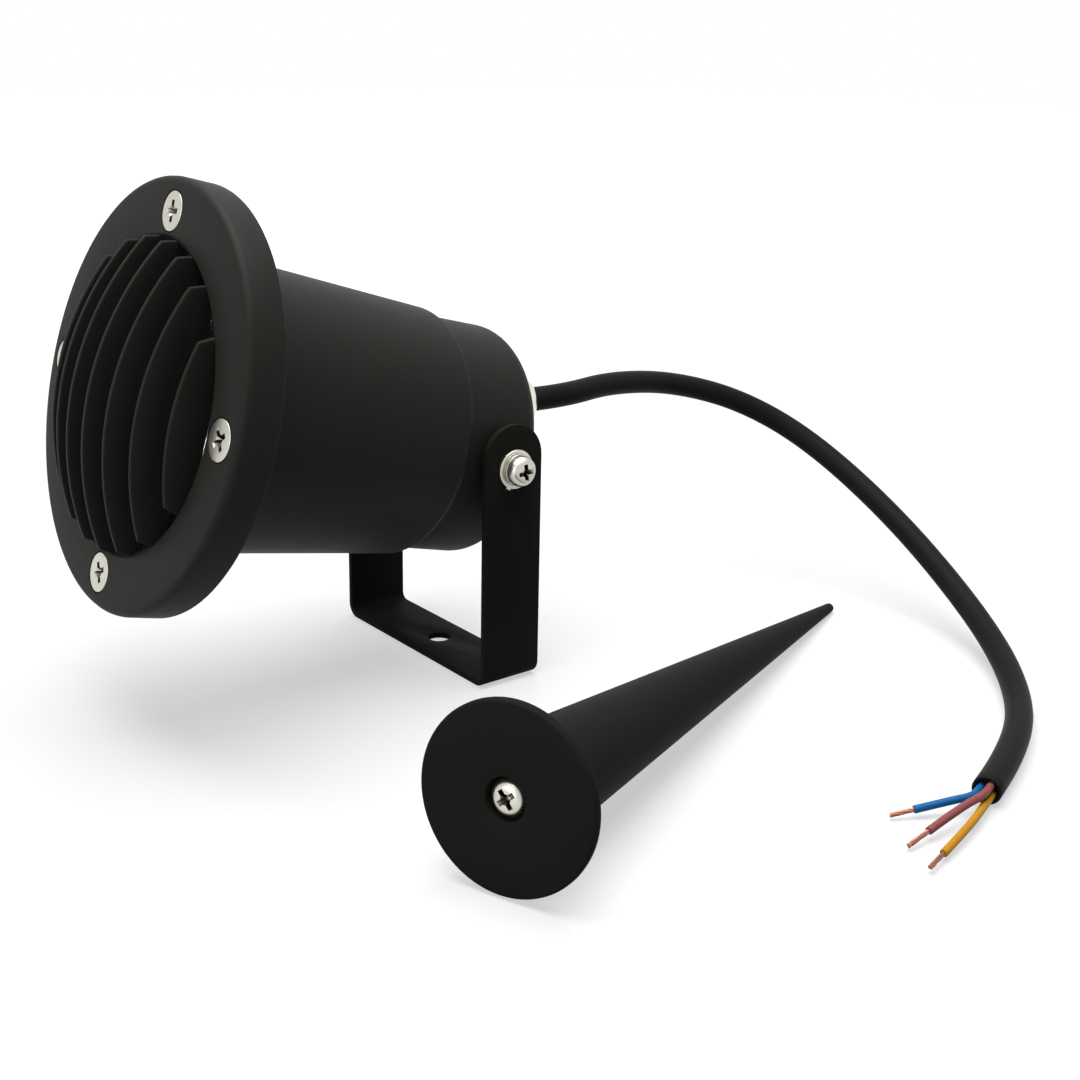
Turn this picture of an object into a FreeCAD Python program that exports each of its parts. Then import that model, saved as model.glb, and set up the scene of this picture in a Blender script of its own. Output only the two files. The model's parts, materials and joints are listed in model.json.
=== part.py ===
import FreeCAD, Part, Sketcher
import math
import os
import sys

# Garden spike spotlight: a round cast lamp head on a U bracket, with a short supply cord,
# and its ground spike lying beside it.
# Row frame, millimetres: +Z up, the lamp looks along -Y, the ground is at Z = 0, and the
# origin is the centre of the hole in the bracket's base, at its underside.
# Head frame: origin on the head's axis beside the pivot, x to the right, y up across the
# axis, z forward along the axis.

SIZES = {
    # how the head stands
    "head_angle": 14.5, "pivot_height": 51.4, "pivot_drop": 1.4,
    # along the head's axis, from the pivot back to the rear face and forward to the step,
    # and from the rear wall to the lampholder's plate
    "rear_reach": 8.2, "step_reach": 13.0, "wiring_room": 16.4,
    # bezel casting
    "bezel_radius": 45.0, "bezel_depth": 8.3, "front_wall": 5.0, "skirt_wall": 2.1,
    "bezel_round": 1.6, "glass_overlap": 2.3, "lip_width": 1.2, "lip_depth": 1.4,
    "ledge_depth": 2.4, "fin_spacing": 7.9, "fin_thickness": 1.3, "dome_height": 11.8,
    "fin_end_height": 2.85, "fin_root": 0.35, "bezel_angle": -2.0,
    # lens and its gasket
    "lens_inset": 3.8, "lens_thickness": 3.0, "lens_clearance": 0.3,
    "gasket_thickness": 1.0, "gasket_width": 3.4,
    # housing casting, its tail as wide as the bracket's arms let it be
    "rim_clearance": 0.25, "barrel_inset": 2.2, "step_height": 1.5,
    "step_chamfer": 1.2, "shoulder_radius": 4.2, "barrel_wall": 2.6, "tail_wall": 2.8,
    "boss_radius": 5.0, "boss_depth": 8.2, "boss_stand": 0.45, "boss_gap": 0.15,
    "post_radius": 3.4, "post_inset": 4.6, "post_angle": 45.0, "thread_runout": 0.5,
    # bezel screws
    "screw_inset": 7.2, "screw_shank": 2.0, "screw_head": 4.15, "screw_cone": 2.2,
    "screw_clearance": 0.05, "shank_clearance": 0.25,
    "cross_length": 4.4, "cross_width": 1.1, "cross_depth": 1.4,
    # pivot hardware
    "arm_clearance": 0.05, "pan_radius": 3.5, "pan_height": 2.3, "pan_edge": 1.2,
    "pan_top": 2.2, "pan_round": 1.7, "shank_gap": 0.6,
    "spring_washer_radius": 3.7, "spring_washer_thickness": 1.28, "spring_washer_gap": 0.9,
    "washer_radius": 4.5, "washer_thickness": 0.9, "washer_bore": 2.15,
    "hole_clearance": 0.08,
    # bracket
    "bracket_width": 58.6, "arm_width": 15.6, "strap": 1.5, "bend_radius": 1.8,
    "arm_top_rise": 2.2, "base_hole": 2.75,
    # lamp
    "lamp_gap": 1.6, "lamp_radius": 25.0, "lamp_rim": 3.0, "lamp_length": 46.5,
    "neck_reach": 19.0, "bowl_curve": 46.0, "bowl_inner_curve": 43.0, "lamp_neck": 11.0,
    "lamp_wall": 1.0, "lamp_glass": 1.2, "lamp_base_length": 13.0, "lamp_base_lip": 0.5,
    "lamp_spigot": 4.0, "pin_spacing": 10.0, "pin_radius": 1.0,
    "pin_length": 6.5, "pin_grip": 3.0, "pin_head": 2.4, "pin_head_length": 2.0,
    # lampholder on its plate, and the small screws
    "holder_radius": 13.0, "holder_height": 10.5, "holder_slot": 2.7, "holder_gap": 0.5,
    "plate_width": 12.0, "plate_thickness": 1.2, "plate_end": 3.25,
    "small_shank": 1.5, "small_head": 2.75, "small_head_height": 1.8, "small_head_edge": 1.2,
    "small_head_top": 1.85, "small_cross_length": 2.8, "small_cross_width": 0.7,
    "small_cross_depth": 1.0, "post_bore": 7.0, "plate_screw_length": 6.2,
    "holder_screw_length": 4.8, "earth_screw_length": 4.2, "holder_screw_place": 9.6,
    # terminal block and earth point
    "block_gap": 1.6, "block_inset": 13.5, "block_width": 10.0, "block_height": 10.5,
    "pad_margin": 1.0, "pad_height": 0.8, "wire_bore": 1.5, "top_bore": 1.7,
    "top_bore_place": 2.0, "bore_depth": 6.0, "clamp_radius": 1.5, "clamp_place": 2.6,
    "clamp_depth": 5.0, "clamp_length": 4.2, "slot_width": 0.6, "slot_depth": 0.7,
    "entry_height": 3.4, "entry_depth": 4.0,
    "earth_rise": 0.5, "earth_boss": 3.4, "earth_boss_height": 5.0, "earth_bore": 4.5,
    "tag_radius": 3.3, "tag_thickness": 0.8, "tag_tongue": 6.5, "tag_width": 3.0,
    "crimp_radius": 1.5, "crimp_length": 3.5, "crimp_height": 1.3, "lead_radius": 0.8,
    # where the wires inside the head turn, from the gland, the terminal block, the earth tag
    # and the holder
    "core_aside": 1.2, "core_lift": 0.9, "core_run": 3.2, "core_turn_x": 3.6,
    "core_turn_y": 7.7, "core_turn_z": 5.2, "core_level": 3.9, "core_entry": 2.4,
    "earth_drop": 1.3, "earth_run": 2.4, "earth_turn": 16.6, "earth_level": 5.0,
    "earth_entry": 1.2, "lead_place": 7.6, "lead_run": 3.4, "lead_turn_x": 5.6,
    "brown_turn": 7.5, "blue_turn": 0.5, "lead_under": 3.3, "lead_above": 1.6,
    "lead_entry": 4.5,
    # cable gland, on its own axis out of the housing's back
    "gland_rise": 8.2, "gland_tilt": 12.0, "gland_boss": 8.3, "gland_boss_out": 0.8,
    "gland_boss_in": 4.8, "gland_stem": 5.0, "gland_bore": 3.6, "hex_radius": 6.9,
    "gland_washer": 6.9, "gland_washer_thickness": 1.0, "gland_flange": 4.5,
    "gland_collar": 5.6, "collar_lip": 0.4, "gland_nut": 9.0, "gland_end_wall": 1.6,
    "crown_height": 3.2, "crown_round": 6.5, "crown_lip": 2.0, "locknut": 2.5,
    "stem_end": 8.2, "seal_clearance": 0.1, "spot_clearance": 0.3,
    # cord
    "cord_radius": 3.0, "cord_exit_run": 12.0, "core_radius": 0.8, "copper_radius": 0.45,
    "core_circle": 1.3, "core_start": 4.0, "bare_copper": 5.6,
    # spike, beside the lamp
    "disc_radius": 17.7, "disc_thickness": 3.0, "disc_round": 1.4, "disc_edge": 0.6,
    "cone_radius": 10.8, "cone_length": 159.6, "tip_radius": 1.2,
    "insert_radius": 3.2, "insert_length": 9.0,
    "sink_radius": 4.6, "sink_depth": 2.4, "spike_screw_length": 8.0,
    "spike_x": 98.6, "spike_y": -52.5, "spike_heading": 110.6,
}
FIN_COUNT = 8
BEZEL_SCREWS = 4
# How far a cutting shape runs past what it cuts, and a joining one into what it joins.
OVERRUN = 1.0
# The cord's route after its straight start at the gland, then each bared core's route,
# chosen by hand from the photograph and laid on the ground.
ROUTE = [(-4.1, 57.6, 57.9), (-8.3, 84.0, 53.9), (-1.3, 104.8, 47.2), (15.3, 116.8, 36.8),
         (45.5, 118.2, 21.5), (80.3, 107.1, 7.8), (105.6, 87.9, 3.0), (123.0, 62.8, 3.0),
         (131.2, 39.6, 3.0)]
CORES = {
    "core_blue": (165, [(129.2, 31.0, 2.8), (125.8, 24.2, 1.6)]),
    "core_brown": (60, [(132.8, 29.5, 3.6), (133.0, 19.3, 1.9)]),
    "core_earth": (320, [(136.6, 27.0, 2.0), (139.3, 15.5, 1.5)]),
}

doc = FreeCAD.newDocument("GardenSpikeSpotlight")
sheet = doc.addObject("Spreadsheet::Sheet", "Sizes")
for row, (alias, number) in enumerate(SIZES.items(), start=1):
    sheet.set(f"A{row}", str(number))
    sheet.setAlias(f"A{row}", alias)
doc.recompute()


# ---------------------------------------------------------------- sizes as expressions
class Size:
    """A length or angle: the sheet's expression for it, and its present value."""

    def __init__(self, text, value):
        self.text = text
        self.value = value

    def __add__(self, other):
        other = size(other)
        return Size(f"({self.text} + {other.text})", self.value + other.value)

    def __sub__(self, other):
        other = size(other)
        return Size(f"({self.text} - {other.text})", self.value - other.value)

    def __mul__(self, other):
        other = size(other)
        return Size(f"({self.text} * {other.text})", self.value * other.value)

    def __truediv__(self, other):
        other = size(other)
        return Size(f"({self.text} / {other.text})", self.value / other.value)

    def __rsub__(self, other):
        return size(other) - self

    def __neg__(self):
        return Size(f"(0 - {self.text})", -self.value)

    __radd__ = __add__
    __rmul__ = __mul__


def size(value):
    """Reads an alias, a plain number or a Size as a Size."""
    if isinstance(value, Size):
        return value
    if isinstance(value, str):
        return Size(f"Sizes.{value}", float(sheet.get(value)))
    return Size(repr(float(value)), float(value))


def sine(value):
    return Size(f"sin({value.text} * 1 deg)", math.sin(math.radians(value.value)))


def cosine(value):
    return Size(f"cos({value.text} * 1 deg)", math.cos(math.radians(value.value)))


def bind(thing, name, value):
    thing.setExpression(name, size(value).text)


# ---------------------------------------------------------------- building blocks
def draw(sketch, points, arcs=None):
    """Draws a closed outline; arcs maps a side's number to its radius, below 0 for clockwise."""
    arcs = arcs or {}
    places = [FreeCAD.Vector(size(x).value, size(y).value, 0) for x, y in points]
    ends = []
    for side, start in enumerate(places):
        finish = places[(side + 1) % len(places)]
        if side not in arcs:
            sketch.addGeometry(Part.LineSegment(start, finish), False)
            ends.append((1, 2))
            continue
        radius = size(arcs[side]).value
        chord = finish - start
        rise = math.sqrt(max(radius * radius - chord.Length * chord.Length / 4, 0))
        left = FreeCAD.Vector(-chord.y, chord.x, 0).normalize()
        centre = (start + finish) / 2 + left * (rise if radius > 0 else -rise)
        first, last = (start, finish) if radius > 0 else (finish, start)
        circle = Part.Circle(centre, FreeCAD.Vector(0, 0, 1), abs(radius))
        angles = [math.atan2(end.y - centre.y, end.x - centre.x) for end in (first, last)]
        sketch.addGeometry(Part.ArcOfCircle(circle, *angles), False)
        ends.append((1, 2) if radius > 0 else (2, 1))
    for side, (x, y) in enumerate(points):
        before = side - 1 if side else len(points) - 1
        sketch.addConstraint(Sketcher.Constraint("Coincident", before, ends[before][1],
                                                 side, ends[side][0]))
        for kind, value in (("DistanceX", size(x)), ("DistanceY", size(y))):
            rule = sketch.addConstraint(Sketcher.Constraint(kind, -1, 1, side, ends[side][0],
                                                            value.value))
            sketch.setExpression(f"Constraints[{rule}]", value.text)
    for side, radius in arcs.items():
        radius = size(radius)
        rule = sketch.addConstraint(Sketcher.Constraint("Radius", side, abs(radius.value)))
        sketch.setExpression(f"Constraints[{rule}]", radius.text if radius.value > 0
                             else (-radius).text)


def sketch_on(body, role, name, points, arcs=None):
    plane = next(item for item in body.Origin.OriginFeatures if item.Role == role)
    sketch = body.newObject("Sketcher::SketchObject", name)
    sketch.AttachmentSupport = [(plane, "")]
    sketch.MapMode = "FlatFace"
    draw(sketch, points, arcs)
    return sketch


def turned(name, points, arcs=None):
    """A body turned about its z axis from an outline of (radius, height) points."""
    body = doc.addObject("PartDesign::Body", name)
    sketch = sketch_on(body, "XZ_Plane", f"{name}_outline", points, arcs)
    turning = body.newObject("PartDesign::Revolution", f"{name}_turning")
    turning.Profile = sketch
    turning.ReferenceAxis = (sketch, ["V_Axis"])
    turning.Angle = 360
    return body


def ring(name, outer, inner, low, high):
    return turned(name, [(inner, low), (outer, low), (outer, high), (inner, high)])


def disc(name, radius, low, high):
    return turned(name, [(0, low), (radius, low), (radius, high), (0, high)])


def extruded(name, role, points, depth, arcs=None):
    """A body padded to both sides from an outline on one of its origin planes."""
    body = doc.addObject("PartDesign::Body", name)
    sketch = sketch_on(body, role, f"{name}_outline", points, arcs)
    pad = body.newObject("PartDesign::Pad", f"{name}_pad")
    pad.Profile = sketch
    pad.SideType = "Symmetric"
    bind(pad, "Length", depth)
    return body


def move(thing, x=0, y=0, z=0):
    for letter, value in zip("xyz", (x, y, z)):
        bind(thing, f"Placement.Base.{letter}", value)
    return thing


def turn(thing, axis, angle):
    thing.Placement.Rotation = FreeCAD.Rotation(FreeCAD.Vector(*axis), size(angle).value)
    bind(thing, "Placement.Rotation.Angle", angle)
    return thing


def rod(name, radius, length, x=0, y=0, z=0, axis=None, angle=0):
    cylinder = doc.addObject("Part::Cylinder", name)
    bind(cylinder, "Radius", radius)
    bind(cylinder, "Height", length)
    if axis:
        turn(cylinder, axis, angle)
    return move(cylinder, x, y, z)


def block(name, length, width, height, x=0, y=0, z=0, turned_by=0):
    """A box centred on x and y that stands on z, turned about its own z axis."""
    box = doc.addObject("Part::Box", name)
    for side, value in zip(("Length", "Width", "Height"), (length, width, height)):
        bind(box, side, value)
    if size(turned_by).value:
        turn(box, (0, 0, 1), turned_by)
    half_x, half_y = size(length) / 2, size(width) / 2
    across, along = cosine(size(turned_by)), sine(size(turned_by))
    corner_x = size(x) - half_x * across + half_y * along
    corner_y = size(y) - half_x * along - half_y * across
    return move(box, corner_x, corner_y, z)


def hexagon(name, radius, height, z=0):
    prism = doc.addObject("Part::Prism", name)
    prism.Polygon = 6
    bind(prism, "Circumradius", radius)
    bind(prism, "Height", height)
    return move(prism, z=z)


def fused(name, solids):
    union = doc.addObject("Part::MultiFuse", name)
    union.Shapes = solids
    return union


def cut(name, base, tools):
    result = doc.addObject("Part::Cut", name)
    result.Base = base
    result.Tool = tools[0] if len(tools) == 1 else fused(f"{name}_tools", tools)
    return result


def common(name, base, tool):
    result = doc.addObject("Part::Common", name)
    result.Base = base
    result.Tool = tool
    return result


def group(name, solids):
    several = doc.addObject("Part::Compound", name)
    several.Links = solids
    return several


def cross(name, top, kind=""):
    """The cutter of a cross recess, sunk from a screw head's top."""
    low = size(top) - f"{kind}cross_depth"
    spans = (f"{kind}cross_length", f"{kind}cross_width")
    return fused(name, [
        block(f"{name}_wide", *spans, size(f"{kind}cross_depth") + OVERRUN, z=low),
        block(f"{name}_tall", *reversed(spans), size(f"{kind}cross_depth") + OVERRUN, z=low)])


def in_head(thing, x=0, y=0, z=0, turned_by=0):
    """Puts a piece made in the head frame in its place, moved and turned about x there."""
    pitch = size("head_angle")
    up = size("pivot_drop") + size(y)
    turn(thing, (1, 0, 0), 90 + size(turned_by) - pitch)
    forward = size(z)
    move(thing, x, up * sine(pitch) - forward * cosine(pitch),
         size("pivot_height") + up * cosine(pitch) + forward * sine(pitch))
    return thing


def on_gland(thing):
    """Puts a piece made on the gland's axis, z out of the housing, in its place."""
    return in_head(thing, y="gland_rise", z=rear, turned_by=180 + size("gland_tilt"))


# ---------------------------------------------------------------- places in the head
rear = -size("rear_reach")
rear_inside = rear + "tail_wall"
step = size("step_reach")
shoulder_place = rear + "shoulder_radius"
post_top = rear_inside + "wiring_room"
holder_back = post_top + "plate_thickness" + "holder_gap"
lamp_back = holder_back + "holder_height"
base_front = lamp_back + "lamp_base_length"
lamp_front = lamp_back + "lamp_length"
gasket_seat = lamp_front + "lamp_gap"
lens_back = gasket_seat + "gasket_thickness"
ledge = lens_back + "lens_thickness"
face = ledge + "ledge_depth"
rim_face = face - "front_wall"
bezel_back = face - "bezel_depth"
screw_circle = size("bezel_radius") - "screw_inset"
lens_radius = screw_circle - "lens_inset"
recess_radius = lens_radius + "lens_clearance"
opening_radius = lens_radius - "glass_overlap"
boss_face = size("bracket_width") / 2 - "strap" - "boss_gap"
tail_radius = boss_face - "boss_stand"
tail_inside = tail_radius - "tail_wall"
flat_radius = tail_radius - "shoulder_radius"
post_circle = tail_inside - "post_inset"
post_place = post_circle * cosine(size("post_angle"))
block_length = (post_place - "post_radius" - "block_gap") * 2
block_place = size("block_inset") - flat_radius
block_seat = rear_inside + "pad_height"
block_top = block_seat + "block_height"
pole = block_length / 4
earth_x = -(block_length / 2 + "block_gap" + "earth_boss")
earth_y = block_place + "earth_rise"
earth_seat = rear_inside + "earth_boss_height"


# ---------------------------------------------------------------- bezel, screws, lens, gasket
def countersunk(name, clearance):
    """A countersunk screw's shape, its flat head at z = 0, or the hole that it fits."""
    loose = size(clearance)
    head = size("screw_head") + loose
    shank = size("screw_shank") + loose
    length = size("bezel_depth") + loose
    return turned(name, [(0, 0), (head, 0), (shank, -size("screw_cone")), (shank, -length),
                         (0, -length)])


def make_bezel():
    edge = size("bezel_round")
    outer = size("bezel_radius")
    opening = opening_radius
    skirt = outer - "skirt_wall"
    shell = turned("bezel_shell", [
        (opening, ledge), (recess_radius, ledge), (recess_radius, rim_face), (skirt, rim_face),
        (skirt, bezel_back), (outer, bezel_back), (outer, face - edge), (outer - edge, face),
        (opening + "lip_width", face), (opening, face - "lip_depth")], {6: edge})
    reach = opening + "fin_root"
    rise = size("dome_height") - "fin_end_height"
    dome_radius = (reach * reach + rise * rise) / (rise * 2)
    dome = turned("fin_dome", [(0, ledge), (reach, ledge), (reach, face + "fin_end_height"),
                               (0, face + "dome_height")], {2: dome_radius})
    plates = [block(f"fin_plate_{number}", "fin_thickness", (reach + OVERRUN) * 2,
                    size("ledge_depth") + "dome_height" + OVERRUN,
                    x=size("fin_spacing") * (number - (FIN_COUNT - 1) / 2), z=ledge)
              for number in range(FIN_COUNT)]
    fins = common("fins", dome, fused("fin_plates", plates))
    casting = turn(fused("bezel_casting", [shell, fins]), (0, 0, 1), "bezel_angle")
    holes = [screw_place(countersunk(f"bezel_hole_{number}", "shank_clearance"), number)
             for number in range(BEZEL_SCREWS)]
    return in_head(cut("bezel", casting, holes))


def screw_place(thing, number):
    """Moves a screw or its hole to its place on the screw circle in the head frame."""
    angle = size(360.0 / BEZEL_SCREWS * number) - "bezel_angle"
    return move(thing, screw_circle * sine(angle), screw_circle * cosine(angle), face)


def make_bezel_screws():
    screws = []
    for number in range(BEZEL_SCREWS):
        blank = countersunk(f"bezel_screw_blank_{number}", 0)
        screw = cut(f"bezel_screw_{number}", blank, [cross(f"bezel_screw_cross_{number}", 0)])
        screws.append(screw_place(screw, number))
    return in_head(group("bezel_screws", screws))


def make_lens():
    return in_head(disc("lens", lens_radius, lens_back, ledge))


def make_lens_gasket():
    return in_head(ring("lens_gasket", lens_radius, lens_radius - "gasket_width", gasket_seat,
                        lens_back))


# ---------------------------------------------------------------- housing
def both_ends(name, radius, length, x, y, z):
    """Two rods, one at each end of the diagonal across the tail."""
    return [rod(f"{name}_upper", radius, length, x=-size(x), y=y, z=z),
            rod(f"{name}_lower", radius, length, x=x, y=-size(y), z=z)]


def make_housing_shell():
    """The turned casting: a rounded back, a stepped barrel and the rim under the bezel."""
    rim = size("bezel_radius") - "skirt_wall" - "rim_clearance"
    mouth = lens_radius - "gasket_width"
    front = lens_radius - "barrel_inset"
    wall = size("barrel_wall")
    back = tail_radius + "step_height"
    chamfer = size("step_chamfer")
    shoulder = size("shoulder_radius")
    return turned("housing_shell", [
        (0, rear_inside), (flat_radius, rear_inside), (tail_inside, shoulder_place),
        (tail_inside, step - chamfer), (back - wall, step + chamfer),
        (front - wall, bezel_back), (mouth, gasket_seat), (recess_radius, gasket_seat),
        (recess_radius, rim_face), (rim, rim_face), (rim, bezel_back), (front, bezel_back),
        (back, step), (tail_radius, step - chamfer), (tail_radius, shoulder_place),
        (flat_radius, rear), (0, rear)],
        {1: shoulder - "tail_wall", 14: -shoulder})


def make_inner_bosses():
    """The plate's posts, the earth boss and the terminal block's pad, inside the tail."""
    rods = both_ends("post", "post_radius", post_top - rear, post_place, post_place, rear)
    rods.append(rod("earth_boss", "earth_boss", size("earth_boss_height") + OVERRUN,
                    x=earth_x, y=earth_y, z=rear_inside - OVERRUN))
    rods.append(block("block_pad", block_length - size("pad_margin") * 2,
                      size("block_width") - size("pad_margin") * 2,
                      size("pad_height") + OVERRUN, y=block_place, z=rear_inside - OVERRUN))
    envelope = turned("tail_envelope", [
        (0, rear), (flat_radius, rear), (tail_radius, shoulder_place), (tail_radius, step),
        (0, step)], {1: "shoulder_radius"})
    return common("inner_bosses", fused("inner_boss_rods", rods), envelope)


def make_housing():
    bosses = [make_inner_bosses()]
    small = size("small_shank") + "screw_clearance"
    thread = size("screw_shank") + "screw_clearance"
    holes = both_ends("post_hole", small, "post_bore", post_place, post_place,
                      post_top - "post_bore" + "thread_runout")
    for side, sign in (("right", 1), ("left", -1)):
        start = (boss_face - "boss_depth") * sign
        bosses.append(rod(f"boss_{side}", "boss_radius", "boss_depth", x=start,
                          y=-size("pivot_drop"), axis=(0, 1, 0), angle=90.0 * sign))
        holes.append(rod(f"boss_hole_{side}", thread, size("boss_depth") + OVERRUN * 2,
                         x=start - OVERRUN * sign, y=-size("pivot_drop"), axis=(0, 1, 0),
                         angle=90.0 * sign))
    holes.append(rod("earth_hole", small, size("earth_bore") + OVERRUN, x=earth_x, y=earth_y,
                     z=earth_seat - "earth_bore"))
    for number in range(BEZEL_SCREWS):
        hole = rod(f"rim_hole_{number}", thread, size("bezel_depth") + OVERRUN * 2)
        screw_place(hole, number)
        bind(hole, "Placement.Base.z", bezel_back - OVERRUN)
        holes.append(hole)
    tilt = size("gland_tilt")
    inner = size("gland_boss_in")
    out = size("gland_boss_out")
    for name, radius, low, length, solids in (
            ("gland_boss", "gland_boss", inner, inner + out, bosses),
            ("gland_hole", size("gland_stem") + "screw_clearance", inner + OVERRUN,
             inner + out + OVERRUN * 2, holes),
            ("gland_spot_face", size("gland_boss") + "spot_clearance", -out,
             size("gland_flange") + "gland_collar", holes)):
        solids.append(rod(name, radius, length, y=size("gland_rise") - low * sine(tilt),
                          z=rear + low * cosine(tilt), axis=(1, 0, 0), angle=180 + tilt))
    return in_head(cut("housing", fused("housing_casting", [make_housing_shell()] + bosses),
                       holes))


# ---------------------------------------------------------------- lamp and lampholder
def make_lamp_reflector():
    """The pressed glass bowl, open at the front and at its neck."""
    wall = size("lamp_wall")
    outer = size("lamp_radius")
    neck = size("lamp_neck")
    glass = lamp_front - "lamp_glass"
    bowl = lamp_back + "neck_reach"
    return in_head(turned("lamp_reflector", [
        (neck - wall, base_front), (neck, base_front), (neck, bowl),
        (outer, lamp_front - "lamp_rim"), (outer, glass), (outer - wall * 2, glass),
        (outer - wall * 2, lamp_front - "lamp_rim"), (neck - wall, bowl + wall * 2)],
        {2: "bowl_curve", 6: -size("bowl_inner_curve")}))


def make_lamp_front():
    return in_head(disc("lamp_front_glass", "lamp_radius", lamp_front - "lamp_glass",
                        lamp_front))


def pin_pair(name, radius, length, z):
    half = size("pin_spacing") / 2
    return [rod(f"{name}_{side}", radius, length, x=half * sign, z=z)
            for side, sign in (("right", 1), ("left", -1))]


def make_lamp_base():
    neck = size("lamp_neck")
    plug = disc("lamp_base_blank", neck + "lamp_base_lip", lamp_back, base_front)
    waist = disc("lamp_base_spigot", neck - "lamp_wall", base_front,
                 base_front + "lamp_spigot")
    bores = pin_pair("lamp_base_bore", size("pin_radius") + "screw_clearance",
                     size("pin_grip") + OVERRUN, lamp_back - OVERRUN)
    return in_head(cut("lamp_base", fused("lamp_base_solid", [plug, waist]), bores))


def make_lamp_pins():
    tip = lamp_back - "pin_length"
    shanks = pin_pair("lamp_pin_shank", "pin_radius", size("pin_length") + "pin_grip", tip)
    heads = pin_pair("lamp_pin_head", "pin_head", "pin_head_length", tip)
    return in_head(group("lamp_pins", [fused(f"lamp_pin_{number}", list(pair))
                                       for number, pair in enumerate(zip(shanks, heads))]))


# The holder's two screws lie along the plate, each side of the axis.
holder_screw_x = size("holder_screw_place") * cosine(size("post_angle"))


def make_lampholder():
    body = disc("lampholder_blank", "holder_radius", holder_back, lamp_back)
    slots = pin_pair("lampholder_slot", "holder_slot",
                     size("pin_length") + "thread_runout" + OVERRUN,
                     lamp_back - "pin_length" - "thread_runout")
    screws = both_ends("lampholder_screw_bore", size("small_shank") + "screw_clearance",
                       size("holder_screw_length") + OVERRUN, holder_screw_x, holder_screw_x,
                       holder_back - OVERRUN)
    return in_head(cut("lampholder", body, slots + screws))


def make_holder_plate():
    blank = block("plate_blank", (post_circle + "plate_end") * 2, "plate_width",
                  "plate_thickness", z=post_top, turned_by=-size("post_angle"))
    bores = []
    for name, place in (("plate_bore", post_place), ("plate_holder_bore", holder_screw_x)):
        bores += both_ends(name, size("small_shank") + "shank_clearance",
                           size("plate_thickness") + OVERRUN * 2, place, place,
                           post_top - OVERRUN)
    return in_head(cut("holder_plate", blank, bores))


def small_screw(name, length, x, y, z, angle=0.0):
    """A pan-head machine screw: its head seated at the place, and its shank below or above."""
    top = size("small_head_height")
    blank = turned(f"{name}_blank", [
        (0, -size(length)), ("small_shank", -size(length)), ("small_shank", 0),
        ("small_head", 0), ("small_head", "small_head_edge"), ("small_head_top", top),
        (0, top)])
    screw = cut(name, blank, [cross(f"{name}_cross", top, "small_")])
    turn(screw, (1, 0, 0), angle)
    return move(screw, x, y, z)


def make_plate_screws():
    seat = post_top + "plate_thickness"
    return in_head(group("plate_screws", [
        small_screw("plate_screw_upper", "plate_screw_length", -post_place, post_place, seat),
        small_screw("plate_screw_lower", "plate_screw_length", post_place, -post_place,
                    seat)]))


def make_holder_screws():
    """They come through the plate from behind, into the holder."""
    place = holder_screw_x
    return in_head(group("holder_screws", [
        small_screw("holder_screw_upper", "holder_screw_length", place, -place, post_top, 180.0),
        small_screw("holder_screw_lower", "holder_screw_length", -place, place, post_top,
                    180.0)]))


# ---------------------------------------------------------------- wiring inside
def make_terminal_block():
    body = block("terminal_blank", block_length, "block_width", "block_height",
                 y=block_place, z=block_seat)
    bores = []
    for side, sign in (("right", 1), ("left", -1)):
        bores.append(rod(f"terminal_top_{side}", "top_bore", size("bore_depth") + OVERRUN,
                         x=pole * sign, y=block_place - "top_bore_place",
                         z=block_top - "bore_depth"))
        bores.append(rod(f"terminal_clamp_bore_{side}", size("clamp_radius") + "screw_clearance",
                         size("clamp_depth") + OVERRUN, x=pole * sign,
                         y=block_place + "clamp_place", z=block_top - "clamp_depth"))
        bores.append(rod(f"terminal_side_{side}", "wire_bore", size("entry_depth") + OVERRUN,
                         x=pole * sign, y=block_place + size("block_width") / 2 + OVERRUN,
                         z=block_seat + "entry_height", axis=(1, 0, 0), angle=90))
    return in_head(cut("terminal_block", body, bores))


def make_terminal_screws():
    screws = []
    low = block_top - "clamp_depth"
    for side, sign in (("right", 1), ("left", -1)):
        barrel = rod(f"terminal_screw_blank_{side}", "clamp_radius", "clamp_length",
                     x=pole * sign, y=block_place + "clamp_place", z=low)
        slot = block(f"terminal_screw_slot_{side}", size("clamp_radius") * 2 + OVERRUN,
                     "slot_width", size("slot_depth") + OVERRUN, x=pole * sign,
                     y=block_place + "clamp_place", z=low + "clamp_length" - "slot_depth")
        screws.append(cut(f"terminal_screw_{side}", barrel, [slot]))
    return in_head(group("terminal_screws", screws))


def make_earth_tag():
    """A ring lug with a crimp barrel, under the earth screw."""
    crimp_y = earth_y + "tag_tongue"
    crimp_z = earth_seat + "crimp_height"
    eye = rod("earth_eye", "tag_radius", "tag_thickness", x=earth_x, y=earth_y, z=earth_seat)
    tongue = block("earth_tongue", "tag_width", "tag_tongue", "tag_thickness", x=earth_x,
                   y=earth_y + size("tag_tongue") / 2, z=earth_seat)
    barrel = rod("earth_barrel", "crimp_radius", "crimp_length", x=earth_x, y=crimp_y,
                 z=crimp_z, axis=(1, 0, 0), angle=-90)
    bore = rod("earth_barrel_bore", size("lead_radius") + "screw_clearance",
               size("crimp_length") + OVERRUN * 2, x=earth_x, y=crimp_y - OVERRUN, z=crimp_z,
               axis=(1, 0, 0), angle=-90)
    eye_bore = rod("earth_eye_bore", size("small_shank") + "shank_clearance",
                   size("tag_thickness") + OVERRUN * 2, x=earth_x, y=earth_y,
                   z=earth_seat - OVERRUN)
    return in_head(cut("earth_tag", fused("earth_tag_solid", [eye, tongue, barrel]),
                       [bore, eye_bore]))


def make_earth_screw():
    return in_head(group("earth_screw", [
        small_screw("earth_screw_body", "earth_screw_length", earth_x, earth_y,
                    earth_seat + "tag_thickness")]))


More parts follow.
